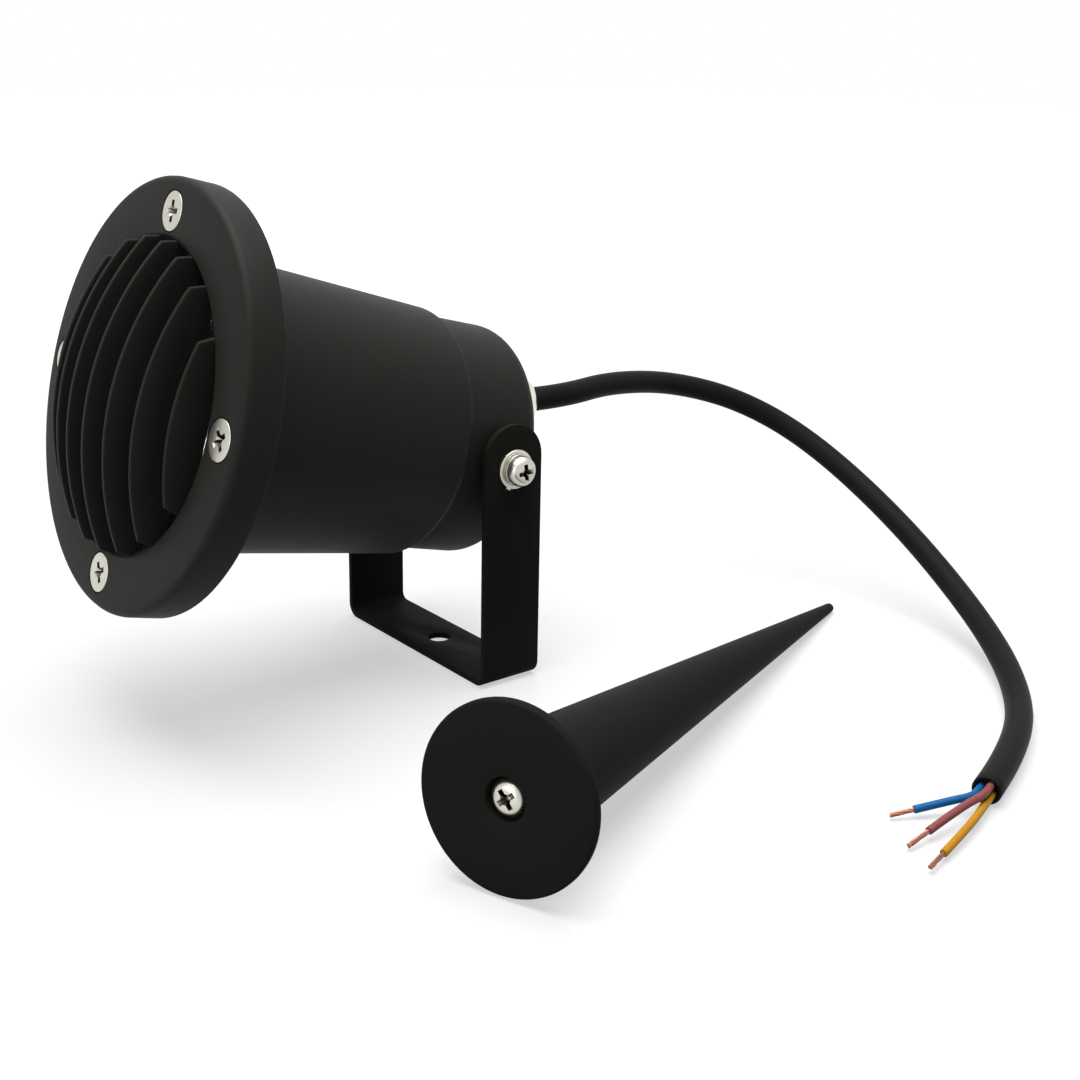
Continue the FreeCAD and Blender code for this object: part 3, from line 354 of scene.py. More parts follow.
def clear_glass(name):
    """Toughened glass with the faintest unevenness of its polish."""
    paint = Paint(name)
    wave = paint.noise(40, 2)
    relief = paint.dents(wave, 0.00005, 0.2)
    return paint.finish(Base_Color=(0.94, 0.98, 0.97), Roughness=0.02 + wave * 0.02,
                        Transmission_Weight=1.0, IOR=1.5, Normal=relief)


FINISHES = {}


def mix_finishes(colours):
    """Every finish of the object, named for what it is on."""
    coat = colours.coat
    FINISHES.update({
        "black_coat": powder_coat("black_coat", coat, 0.07),
        "strap_coat": powder_coat("strap_coat", shade(coat, 0.95), 0.012),
        "black_plastic": moulded_plastic("black_plastic", colours.plastic),
        "nickel": plated("nickel", colours.nickel),
        "plated_brass": plated("plated_brass", shade(colours.nickel, 1.45), 0.2),
        "cord_jacket": rubber_sheath("cord_jacket", colours.rubber),
        "blue_core": insulation("blue_core", colours.blue),
        "brown_core": insulation("brown_core", colours.brown),
        "earth_core": insulation("earth_core", colours.yellow, tuple(colours.green)),
        "copper": bare_metal("copper", colours.copper, 0.42),
        "brass": bare_metal("brass", (0.62, 0.42, 0.16), 0.3),
        "zinc_steel": bare_metal("zinc_steel", (0.56, 0.56, 0.54), 0.36),
        "mirror_coat": bare_metal("mirror_coat", (0.80, 0.80, 0.82), 0.12, 700),
        "clear_glass": clear_glass("clear_glass"),
        "ceramic": plain_body("ceramic", (0.80, 0.77, 0.68), 0.28, 0.4),
        "white_plastic": plain_body("white_plastic", (0.72, 0.71, 0.66), 0.42),
        "black_rubber": plain_body("black_rubber", (0.018, 0.018, 0.018), 0.6),
    })


# ---- shaping
def moved(bm, *matrices):
    """The shape after the matrices, the last one first."""
    whole = Matrix.Identity(4)
    for matrix in matrices:
        whole = whole @ matrix
    bmesh.ops.transform(bm, matrix=whole, verts=bm.verts)
    return bm


def shifted(bm, x=0.0, y=0.0, z=0.0):
    return moved(bm, Matrix.Translation((x, y, z)))


def rotation(degrees, axis="Z"):
    return Matrix.Rotation(math.radians(degrees), 4, axis)


def verts_of(made):
    """The vertices among what an operation made."""
    return [item for item in made["geom"] if isinstance(item, bmesh.types.BMVert)]


def bevelled(bm, edges, width, segments=2, clamp=True):
    """Rounds the edges by a width in metres."""
    bmesh.ops.bevel(bm, geom=edges, offset=width, offset_type="OFFSET", segments=segments,
                    profile=0.5, affect="EDGES", clamp_overlap=clamp, material=-1)
    return bm


def sealed(bm):
    """Merges what coincides and points every face outwards."""
    bmesh.ops.remove_doubles(bm, verts=bm.verts, dist=1e-7)
    bmesh.ops.dissolve_degenerate(bm, edges=bm.edges, dist=1e-7)
    bmesh.ops.recalc_face_normals(bm, faces=bm.faces)
    return bm


def outline(points, closed=False):
    """A wire through (x, z) points in millimetres; a third number rounds that corner."""
    bm = bmesh.new()
    verts = [bm.verts.new((point[0] * MM, 0, point[1] * MM)) for point in points]
    for pair in zip(verts, verts[1:]):
        bm.edges.new(pair)
    if closed:
        bm.edges.new((verts[-1], verts[0]))
    for vert, point in zip(verts, points):
        if len(point) > 2:
            steps = 3 + int(point[2] * 1.1)
            bmesh.ops.bevel(bm, geom=[vert], offset=point[2] * MM, offset_type="OFFSET",
                            segments=steps, profile=0.5, affect="VERTICES", material=-1)
    return bm


def lathe(points, closed=False, steps=ROUND_STEPS):
    """Turns an outline of (radius, height) points round z."""
    bm = outline(points, closed)
    bmesh.ops.spin(bm, geom=bm.verts[:] + bm.edges[:], cent=(0, 0, 0), axis=(0, 0, 1),
                   dvec=(0, 0, 0), angle=TURN, steps=steps, use_merge=True)
    return sealed(bm)


def pulled(bm, reach):
    """Fills a closed outline and pulls it along y, in millimetres, into a plate."""
    bmesh.ops.contextual_create(bm, geom=bm.edges[:])
    wall = bmesh.ops.extrude_face_region(bm, geom=bm.faces[:])
    bmesh.ops.translate(bm, vec=(0, reach * MM, 0), verts=verts_of(wall))
    return bm


def ring(inner, outer, low, high, edge):
    return lathe([(inner, low, edge), (outer, low, edge), (outer, high, edge),
                  (inner, high, edge)], closed=True, steps=SMALL_STEPS)


def bar(radius, low, high, sides=SMALL_STEPS, edge=0.0):
    """A round or many-sided bar along z, in millimetres, its rims rounded by edge."""
    bm = bmesh.new()
    bmesh.ops.create_cone(bm, cap_ends=True, segments=sides, radius1=radius * MM,
                          radius2=radius * MM, depth=(high - low) * MM)
    shifted(bm, z=(low + high) / 2 * MM)
    if edge:
        soften(bm, edge)
    return bm


def slab(size_x, size_y, size_z, x=0.0, y=0.0, z=0.0, edge=0.0):
    """A box in millimetres, centred on x, y and z."""
    bm = bmesh.new()
    bmesh.ops.create_cube(bm, size=1.0)
    moved(bm, Matrix.Translation((x * MM, y * MM, z * MM)),
          Matrix.Diagonal((size_x * MM, size_y * MM, size_z * MM, 1)))
    if edge:
        soften(bm, edge)
    return bm


def soften(bm, width, least_angle=50, segments=2):
    """Rounds the edges that turn by more than the angle."""
    edges = [edge for edge in bm.edges if edge.is_manifold
             and edge.calc_face_angle(0) > math.radians(least_angle)]
    return bevelled(bm, edges, width * MM, segments)


def joined(shapes):
    """Several shapes as one, without cutting them into each other."""
    whole = bmesh.new()
    for shape in shapes:
        held = bpy.data.meshes.new("held")
        shape.to_mesh(held)
        shape.free()
        whole.from_mesh(held)
        bpy.data.meshes.remove(held)
    return whole


def placed(name, data):
    """A new object in the scene that shows a mesh, curve, camera or light."""
    piece = bpy.data.objects.new(name, data)
    bpy.context.scene.collection.objects.link(piece)
    return piece


def stand(name, bm):
    """Makes an object of a shape."""
    mesh = bpy.data.meshes.new(name)
    bm.to_mesh(mesh)
    bm.free()
    return placed(name, mesh)


def settled(piece):
    """The mesh of a piece with its modifiers applied."""
    graph = bpy.context.evaluated_depsgraph_get()
    return bpy.data.meshes.new_from_object(piece.evaluated_get(graph))


def carved(base, tool, operation="DIFFERENCE"):
    """Cuts, joins or intersects two closed shapes."""
    piece = stand("carving", base)
    knife = stand("knife", tool)
    modifier = piece.modifiers.new("carve", "BOOLEAN")
    modifier.object = knife
    modifier.operation = operation
    modifier.solver = "EXACT"
    modifier.use_self = True
    mesh = settled(piece)
    result = bmesh.new()
    result.from_mesh(mesh)
    for spare in (piece, knife):
        old = spare.data
        bpy.data.objects.remove(spare)
        bpy.data.meshes.remove(old)
    bpy.data.meshes.remove(mesh)
    return result


# Degrees: edges that turn by less are shaded smooth, and by more are rounded.
SMOOTH_BELOW = 32
ROUND_ABOVE = 40


def finished(name, bm, body, slot, nodes, edge=0.0):
    """Puts a shape in the scene as a piece: edges rounded, shaded, finished and riding."""
    piece = stand(name, bm)
    if edge:
        bevel = piece.modifiers.new("edges", "BEVEL")
        bevel.width = edge * MM
        bevel.segments = 2
        bevel.limit_method = "ANGLE"
        bevel.angle_limit = math.radians(ROUND_ABOVE)
        bevel.use_clamp_overlap = True
        mesh = settled(piece)
        piece.modifiers.clear()
        old = piece.data
        piece.data = mesh
        bpy.data.meshes.remove(old)
    piece.data.name = name
    piece.data.shade_smooth()
    piece.data.set_sharp_from_angle(angle=math.radians(SMOOTH_BELOW))
    piece.data.materials.clear()
    piece.data.materials.append(FINISHES[slot])
    if body:
        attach(piece, body)
    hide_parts(*nodes)
    return piece


# ---- places
def pivot():
    joint = next(item for item in frame["joints"] if item["name"] == "head_tilt")
    return Vector(joint["pos_m"])


def head_place(head):
    """From the head's own frame, z out of its face, to the row frame."""
    return (Matrix.Translation(pivot())
            @ Matrix.Rotation(math.radians(90) - head.pitch, 4, "X")
            @ Matrix.Translation((0, head.axis_lift, 0)))


def gland_place(head):
    """From the gland's own frame, z out of the housing, to the row frame."""
    return (head_place(head) @ Matrix.Translation((0, head.gland_rise, -head.rear))
            @ Matrix.Rotation(math.radians(180) + head.gland_tilt, 4, "X"))


def side_place(side, reach):
    """From a screw's own frame, z out of one arm, to the row frame, so far from the middle."""
    return (Matrix.Translation(pivot() + Vector((side * reach * MM, 0, 0)))
            @ rotation(90 * side, "Y"))


# The middle of the disc's back, where the spike lies on the ground, in millimetres.
SPIKE_X = 98.6
SPIKE_Y = -52.5


def spike_place(spike):
    """From the spike's own frame, z towards its tip, to where it lies on its rim and tip."""
    span = math.hypot(spike.disc, spike.reach - spike.tip)
    dip = math.atan2(spike.disc, spike.reach - spike.tip) - math.asin(spike.tip / span)
    axis = Vector((math.cos(spike.heading) * math.cos(dip),
                   math.sin(spike.heading) * math.cos(dip), -math.sin(dip)))
    back = Vector((SPIKE_X * MM, SPIKE_Y * MM, spike.disc * math.cos(dip)))
    return Matrix.Translation(back) @ axis.to_track_quat("Z", "Y").to_matrix().to_4x4()


# ---- bezel
FIN_STEPS = 40
# Millimetres: the rounding of a fin's crest, and the countersunk holes' radii.
CREST_ROUND = 0.3
COUNTERSINK = 4.4
THROUGH_HOLE = 2.25


def fin(head, x):
    """One upright plate: a straight end, a crest along the dome, thinner towards its crest."""
    reach = head.opening + head.fin_end_root
    rise = head.dome - head.fin_end
    dome_radius = (reach ** 2 + rise ** 2) / (2 * rise)
    centre = head.face + head.dome - dome_radius
    half = math.sqrt(reach ** 2 - x ** 2)
    foot = math.sqrt((head.opening + head.fin_root) ** 2 - x ** 2)
    low, base = head.face - head.ledge, head.face - 0.1 * MM
    bm = bmesh.new()
    bmesh.ops.create_grid(bm, x_segments=FIN_STEPS, y_segments=3, size=0.5)
    for vert in bm.verts:
        along, row = vert.co.x * 2, round((vert.co.y + 0.5) * 3)
        crest = centre + math.sqrt(dome_radius ** 2 - x ** 2 - (along * half) ** 2)
        share = max(0, row - 1) / 2
        across = along * (foot + (half - foot) * share)
        thick = head.fin_thickness + (head.fin_crest - head.fin_thickness) * share
        vert.co = (-thick / 2, across, low if row == 0 else base + (crest - base) * share)
    wall = bmesh.ops.extrude_face_region(bm, geom=bm.faces[:])
    for vert in verts_of(wall):
        vert.co.x = -vert.co.x
    sealed(bm)
    crests = [edge for edge in bm.edges if edge.calc_face_angle(0) > math.radians(50)
              and min(vert.co.z for vert in edge.verts) > base - 0.01 * MM]
    return shifted(bevelled(bm, crests, CREST_ROUND * MM, 3), x=x)


def countersink(face):
    """The cutter of a countersunk through hole below a face, in millimetres."""
    rim, hole = COUNTERSINK + 0.05, THROUGH_HOLE
    return lathe([(0, face + 1), (rim, face + 1), (rim, face - 0.12), (hole, face - hole),
                  (hole, face - 12), (0, face - 12)], steps=SMALL_STEPS)


def screw_spots(head):
    """The four places of the bezel's screws in the head's frame."""
    for number in range(4):
        turn = number * TURN / 4 - head.bezel_turn
        yield Matrix.Translation((head.screw_circle * math.sin(turn),
                                  head.screw_circle * math.cos(turn), 0))


class SPOTLIGHT_OT_bezel(bpy.types.Operator):
    """Casts the front ring with its fins and its countersunk holes"""
    bl_idname = "spotlight.bezel"
    bl_label = "Bezel"

    def execute(self, context):
        head = context.scene.spotlight_head
        face, outer = head.face / MM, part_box("bezel")[1].x / MM
        opening, ledge = head.opening / MM, (head.face - head.ledge) / MM
        seat, back = face - head.front_wall / MM, face - head.bezel_depth / MM
        skirt, lip = outer - head.skirt_wall / MM, head.lip / MM
        casting = lathe([
            (opening, ledge, 0.2), (opening + 2.6, ledge), (opening + 2.6, seat), (skirt, seat),
            (skirt, back, 0.3), (outer, back, 0.5), (outer, face, head.bezel_round / MM),
            (opening + lip, face, 0.35), (opening, face - lip, 0.35)], closed=True)
        middle = (head.fins - 1) / 2
        fins = joined([fin(head, head.fin_spacing * (number - middle))
                       for number in range(head.fins)])
        fins = moved(fins, Matrix.Rotation(head.bezel_turn, 4, "Z"))
        casting = carved(casting, fins, "UNION")
        holes = joined([moved(countersink(face), spot) for spot in screw_spots(head)])
        casting = carved(casting, holes)
        finished("bezel_casting", moved(casting, head_place(head)), "head", "black_coat",
                 ["bezel"])
        return {"FINISHED"}


# ---- housing
# The posts that carry the holder's plate, and the screws' tapped holes, in millimetres.
POST_SPOT = 14.0
POST_RADIUS = 3.4
POST_HEIGHT = 16.4
TAPPED_HOLE = 2.05
# The gland's radii, and its places along its own axis, out of the housing, in millimetres.
GLAND_HEX = 6.9
GLAND_HOLE = 5.05
GLAND_THREAD = 5.0
BOSS_BACK = -4.8
BOSS_FACE = 0.8
WASHER_TOP = 1.8
BODY_TOP = 6.3
COLLAR_TOP = 11.9
GLAND_END = 15.3


class SPOTLIGHT_OT_housing(bpy.types.Operator):
    """Casts the round housing with its bosses, posts and holes"""
    bl_idname = "spotlight.housing"
    bl_label = "Housing"

    def execute(self, context):
        head = context.scene.spotlight_head
        arms = context.scene.spotlight_bracket
        face, outer = head.face / MM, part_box("bezel")[1].x / MM
        back, seat = face - head.bezel_depth / MM, face - head.front_wall / MM
        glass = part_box("lens")[1].x / MM
        wall, tail, rear = head.wall / MM, head.tail / MM, -head.rear / MM
        front, step = head.barrel_front / MM, head.step / MM
        narrow, shoulder = head.barrel_rear / MM, head.shoulder / MM
        rim = outer - head.skirt_wall / MM - 0.25
        inside = wall + 0.2
        gasket = face - head.ledge / MM - 4.0
        post_top = rear + inside + POST_HEIGHT
        casting = lathe([
            (0, rear + inside), (tail - inside, rear + inside, shoulder - inside),
            (tail - inside, step - 1.2, 0.6), (narrow - wall, step + 1.2, 0.6),
            (front - wall, back), (glass - 3.4, gasket, 0.2), (glass + 0.3, gasket),
            (glass + 0.3, seat), (rim, seat, 0.3), (rim, back, 0.3), (front, back, 0.9),
            (narrow, step, 0.7), (tail, step - 1.2, 0.6), (tail, rear, shoulder), (0, rear)])
        solids = []
        holes = []
        for side in (1, -1):
            turned = (Matrix.Translation((0, -head.axis_lift, 0)),
                      rotation(90 * side, "Y"))
            reach = arms.boss_face / MM
            solids.append(moved(bar(5.0, reach - 8.2, reach, edge=0.3), *turned))
            holes.append(moved(bar(TAPPED_HOLE, reach - 9, reach + 1), *turned))
            spot = Matrix.Translation((-POST_SPOT * side * MM, POST_SPOT * side * MM, 0))
            solids.append(moved(bar(POST_RADIUS, rear + 1.8, post_top, edge=0.3), spot))
            holes.append(moved(bar(1.55, post_top - 6.5, post_top + 1), spot))
        earth_boss = bar(POST_RADIUS, rear + inside - 1, rear + inside + 5, edge=0.3)
        solids.append(shifted(earth_boss, x=-POST_SPOT * MM, y=-9 * MM))
        solids.append(slab(16, 8, 1.8, y=-9.5, z=rear + inside - 0.1))
        to_gland = head_place(head).inverted() @ gland_place(head)
        solids.append(moved(bar(8.3, BOSS_BACK, BOSS_FACE, edge=0.3), to_gland))
        holes.append(moved(bar(8.6, BOSS_FACE, 6.0), to_gland))
        holes.append(moved(bar(GLAND_HOLE, -8.0, 4.0), to_gland))
        for spot in screw_spots(head):
            holes.append(moved(bar(TAPPED_HOLE, back - 2, seat + 1), spot))
        casting = carved(casting, joined(solids), "UNION")
        casting = carved(casting, joined(holes))
        finished("housing_casting", moved(casting, head_place(head)), "head", "black_coat",
                 ["housing"])
        return {"FINISHED"}


# ---- screws
# Millimetres, and the turn of each screw's cross in degrees, as in the photographed object.
SHANK = 2.0
PAN_RADIUS = 3.5
PAN_DOME = 2.3
BEZEL_SCREW_TURNS = (4, 35, 30, 80)
PIVOT_SCREW_TURNS = ((1, 5), (-1, 33))
SPIKE_SCREW_TURN = 40


def cross_recess(top, width, depth, slot):
    """The cutter of a cross recess: two tapered blades and a pointed middle."""
    blades = []
    for turn in (0, 90):
        blade = slab(width * 1.25, slot * 1.15, depth + 1, z=top + 0.5 - depth / 2)
        for vert in blade.verts:
            if vert.co.z < (top - 0.2) * MM:
                vert.co.x *= 0.36
                vert.co.y *= 0.62
        blades.append(moved(blade, rotation(turn)))
    middle = lathe([(0, top + 1), (width * 0.24, top + 1), (width * 0.24, top),
                    (width * 0.1, top - depth), (0, top - depth - 0.3)], steps=24)
    return carved(carved(blades[0], blades[1], "UNION"), middle, "UNION")


def flat_screw(face, turn):
    """A countersunk screw below a face, its cross turned by so many degrees."""
    shape = lathe([(0, face - 0.02), (4.1, face - 0.02, 0.12), (4.1, face - 0.22, 0.08),
                   (SHANK, face - 2.25), (SHANK, face - 8.3, 0.4), (0, face - 8.3)],
                  steps=SMALL_STEPS)
    shape = carved(shape, cross_recess(face, 4.9, 1.5, 1.15))
    return soften(moved(shape, rotation(turn)), 0.05, 45, 1)


def pan_screw(reach, turn):
    """A pan-head screw seated on z = 0 with its shank below."""
    shape = lathe([(0, PAN_DOME), (PAN_RADIUS - 0.3, PAN_DOME, 1.5), (PAN_RADIUS, 0.35, 0.35),
                   (PAN_RADIUS, 0, 0.1), (SHANK, 0), (SHANK, -reach, 0.4), (0, -reach)],
                  steps=SMALL_STEPS)
    shape = carved(shape, cross_recess(PAN_DOME, 4.3, 1.5, 1.05))
    return soften(moved(shape, rotation(turn)), 0.05, 45, 1)


class SPOTLIGHT_OT_screws(bpy.types.Operator):
    """Turns the screws of the bezel, the pivot and the spike"""
    bl_idname = "spotlight.screws"
    bl_label = "Screws"

    def execute(self, context):
        head = context.scene.spotlight_head
        spike = context.scene.spotlight_spike
        flat = joined([moved(flat_screw(head.face / MM, turn), spot)
                       for turn, spot in zip(BEZEL_SCREW_TURNS, screw_spots(head))])
        finished("bezel_screw_set", moved(flat, head_place(head)), "head", "nickel",
                 ["bezel_screws"])
        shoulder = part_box("spring_washers")[1].x / MM
        reach = shoulder - 19.5
        pans = joined([moved(pan_screw(reach, turn), side_place(side, shoulder))
                       for side, turn in PIVOT_SCREW_TURNS])
        finished("pivot_screw_set", pans, "head", "nickel", ["pivot_screws"])
        seat = spike.sink_depth - spike.thickness
        lying = moved(pan_screw(8.0, SPIKE_SCREW_TURN), spike_place(spike),
                      Matrix.Translation((0, 0, seat)), rotation(180, "X"))
        finished("spike_fixing_screw", lying, "spike", "nickel", ["spike_screw"])
        return {"FINISHED"}


# ---- washers
# Radii and the spring washer's lift in millimetres. Its gap, and the turns of the flat washer's
# tab and of that gap about the screw, in degrees.
WASHER_HOLE = 2.15
FLAT_WASHER = 4.5
SPRING_WASHER = 3.7
SPRING_LIFT = 0.28
SPRING_GAP = 12
TAB_TURN = -27
GAP_TURN = 150


def split_ring(inner, outer, thickness):
    """A spring washer: a square section wound once, its two ends a little apart."""
    bm = outline([(inner, 0, 0.12), (outer, 0, 0.12), (outer, thickness, 0.12),
                  (inner, thickness, 0.12)], closed=True)
    bmesh.ops.contextual_create(bm, geom=bm.edges[:])
    bmesh.ops.spin(bm, geom=bm.faces[:], cent=(0, 0, 0), axis=(0, 0, 1), steps=SMALL_STEPS,
                   dvec=(0, 0, SPRING_LIFT * MM / SMALL_STEPS),
                   angle=TURN * (1 - SPRING_GAP / 360))
    return sealed(bm)


class SPOTLIGHT_OT_washers(bpy.types.Operator):
    """Stamps the flat washers and winds the spring washers"""
    bl_idname = "spotlight.washers"
    bl_label = "Washers"

    def execute(self, context):
        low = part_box("bracket")[1].x / MM + 0.05
        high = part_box("flat_washers")[1].x / MM
        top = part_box("spring_washers")[1].x / MM
        plates = []
        springs = []
        for side in (1, -1):
            plate = carved(ring(WASHER_HOLE, FLAT_WASHER, 0, high - low, 0.18),
                           slab(1.2, 1.3, high - low - 0.1, x=4.3, z=(high - low) / 2, edge=0.15),
                           "UNION")
            plates.append(moved(plate, side_place(side, low), rotation(TAB_TURN * side)))
            spring = split_ring(WASHER_HOLE, SPRING_WASHER, top - high - 0.3)
            springs.append(moved(spring, side_place(side, high), rotation(GAP_TURN)))
        finished("flat_washer_pair", joined(plates), "head", "nickel", ["flat_washers"])
        finished("spring_washer_pair", joined(springs), "head", "nickel", ["spring_washers"])
        return {"FINISHED"}


# ---- gland
def hexagon(radius, low, high, crown_low=False, crown=1.1):
    """A hexagonal bar, its corners turned off by a cone at its low end where it has a crown."""
    bm = bar(radius, low, high, sides=6)
    moved(bm, rotation(30))
    soften(bm, 0.25)
    clear = radius + 1
    start = radius * math.cos(math.radians(30)) - 0.1 if crown_low else clear
    turned = lathe([(0, low - 0.01), (start, low - 0.01), (clear, low + crown),
                    (clear, high - crown), (clear, high + 0.01), (0, high + 0.01)],
                   steps=SMALL_STEPS)
    return carved(bm, turned, "INTERSECT")


class SPOTLIGHT_OT_gland(bpy.types.Operator):
    """Turns the cable gland: washer, body, clamping nut, rubber bush and locknut"""
    bl_idname = "spotlight.gland"
    bl_label = "Cable gland"

    def execute(self, context):
        place = gland_place(context.scene.spotlight_head)
        washer = ring(GLAND_HOLE, GLAND_HEX, BOSS_FACE, WASHER_TOP, 0.25)
        finished("gland_seal_washer", moved(washer, place), "head", "black_rubber",
                 ["gland_washer"])
        stem = carved(hexagon(GLAND_HEX, WASHER_TOP, BODY_TOP, crown_low=True, crown=0.7),
                      bar(GLAND_THREAD, -8.2, 1.9, edge=0.3), "UNION")
        stem = carved(stem, bar(5.4, 6.2, COLLAR_TOP, edge=0.2), "UNION")
        stem = carved(stem, bar(3.6, -12, 14))
        finished("gland_hex_body", moved(stem, place), "head", "plated_brass", ["gland_body"],
                 edge=0.12)
        dome = lathe([(0, 6.2), (7.4, 6.2), (7.3, 12.1, 1.0), (6.4, 13.9, 1.4),
                      (GLAND_THREAD, GLAND_END, 0.4), (0, GLAND_END)], steps=SMALL_STEPS)
        nut = carved(hexagon(GLAND_HEX, BODY_TOP, GLAND_END), dome, "INTERSECT")
        nut = carved(nut, bar(5.45, 5.0, GLAND_END - 1.6))
        nut = carved(nut, bar(3.1, 5.0, GLAND_END + 1))
        finished("gland_clamping_nut", moved(nut, place), "head", "plated_brass", ["gland_nut"],
                 edge=0.15)
        bush = ring(3.02, 3.55, WASHER_TOP, COLLAR_TOP, 0.1)
        finished("gland_bush", moved(bush, place), "head", "black_rubber", ["gland_seal"])
        lock = hexagon(GLAND_HEX, -7.3, BOSS_BACK, crown_low=True, crown=0.8)
        lock = carved(lock, bar(GLAND_HOLE, -9, -3))
        finished("gland_back_nut", moved(lock, place), "head", "plated_brass",
                 ["gland_locknut"], edge=0.12)
        return {"FINISHED"}


# ---- bracket
class SPOTLIGHT_OT_bracket(bpy.types.Operator):
    """Bends the strap into its U, with round arm tops and its three holes"""
    bl_idname = "spotlight.bracket"
    bl_label = "Bracket"

    def execute(self, context):
        sizes = context.scene.spotlight_bracket
        low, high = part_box("bracket")
        half, width, top = high.x / MM, (high.y - low.y) / MM, high.z / MM
        hole = next(item for item in frame["record"]["mounts"] if item["name"] == "base_hole")
        strap = hole["dims"]["length_mm"]
        inner = sizes.bend / MM
        strip = pulled(outline([
            (-half, top), (-half, 0, inner + strap), (half, 0, inner + strap), (half, top),
            (half - strap, top), (half - strap, strap, inner), (strap - half, strap, inner),
            (strap - half, top)], closed=True), width)
        sealed(shifted(strip, y=-width / 2 * MM))
        radius = width / 2
        side = pulled(outline([
            (-radius, -1), (radius, -1), (radius, top, radius * 0.998),
            (-radius, top, radius * 0.998)], closed=True), 2 * half + 4)
        moved(side, rotation(90), Matrix.Translation(
            (0, -(half + 2) * MM, 0)))
        strip = carved(strip, sealed(side), "INTERSECT")
        across = moved(bar(sizes.pivot_hole / MM, -half - 2, half + 2),
                       Matrix.Translation(pivot()), rotation(90, "Y"))
        strip = carved(strip, across)
        strip = carved(strip, bar(hole["dims"]["r_mm"], -2, strap + 2))
        finished("bracket_strap", strip, "bracket", "strap_coat", ["bracket"],
                 edge=sizes.edge / MM)
        return {"FINISHED"}


# ---- spike
# The hole for the brass insert, below the screw's seat, in millimetres.
INSERT_HOLE = 3.25
INSERT_DEPTH = 9.2


class SPOTLIGHT_OT_spike(bpy.types.Operator):
    """Moulds the ground spike with its disc and sunk screw seat"""
    bl_idname = "spotlight.spike"
    bl_label = "Ground spike"

    def execute(self, context):
        spike = context.scene.spotlight_spike
        disc, thick = spike.disc / MM, spike.thickness / MM
        reach, tip, sink = spike.reach / MM, spike.tip / MM, spike.sink / MM
        floor = spike.sink_depth / MM - thick
        moulding = lathe([
            (INSERT_HOLE, floor), (sink, floor, 0.15), (sink, -thick, 0.12), (disc, -thick, 0.6),
            (disc, 0, 1.5), (spike.cone / MM, 0, 0.9), (tip, reach - tip * 0.6, 1.1),
            (0, reach), (0, floor + INSERT_DEPTH), (INSERT_HOLE, floor + INSERT_DEPTH)],
            closed=True)
        finished("spike_moulding", moved(moulding, spike_place(spike)), "spike",
                 "black_plastic", ["spike"])
        return {"FINISHED"}


# ---- cord
# The route's points after the straight start at the gland, as in the part's source.
ROUTE = [(-4.1, 57.6, 57.9), (-8.3, 84.0, 53.9), (-1.3, 104.8, 47.2), (15.3, 116.8, 36.8),
         (45.5, 118.2, 21.5), (80.3, 107.1, 7.8), (105.6, 87.9, 3.0), (123.0, 62.8, 3.0),
         (131.2, 39.6, 3.0)]
# Each core's finish, angle round the cord's mouth, length of bare copper and route.
CORES = {
    "core_blue": ("blue_core", 165, 5.0, [(129.2, 31.0, 2.8), (125.8, 24.2, 1.6)]),
    "core_brown": ("brown_core", 60, 6.2, [(132.8, 29.5, 3.6), (133.0, 19.3, 1.9)]),
    "core_earth": ("earth_core", 320, 5.9, [(136.6, 27.0, 2.0), (139.3, 15.5, 1.5)]),
}
# Millimetres: the straight run out of the gland, the bore at the cord's mouth and its depth, the
# circle that the cores leave it on, how deep they start inside it and how far they run straight,
# and how deep the strands start inside a core.
EXIT_RUN = 12.0
CORD_BORE = 2.35
BORE_DEPTH = 1.5
CORE_CIRCLE = 1.3
CORE_INSIDE = 1.4
CORE_START = 4.0
STRANDS_INSIDE = 0.6


def metres(points):
    return [Vector(point) * MM for point in points]


def smooth_line(points, resolution=14):
    """Points along a NURBS curve that has the given control points."""
    curve = bpy.data.curves.new("route", "CURVE")
    curve.dimensions = "3D"
    curve.resolution_u = resolution
    spline = curve.splines.new("NURBS")
    spline.points.add(len(points) - 1)
    for control, point in zip(spline.points, points):
        control.co = (*point, 1)
    spline.order_u = 3
    spline.use_endpoint_u = True
    holder = placed("route", curve)
    mesh = settled(holder)
    line = [vert.co.copy() for vert in mesh.vertices]
    bpy.data.objects.remove(holder)
    bpy.data.curves.remove(curve)
    bpy.data.meshes.remove(mesh)
    return line


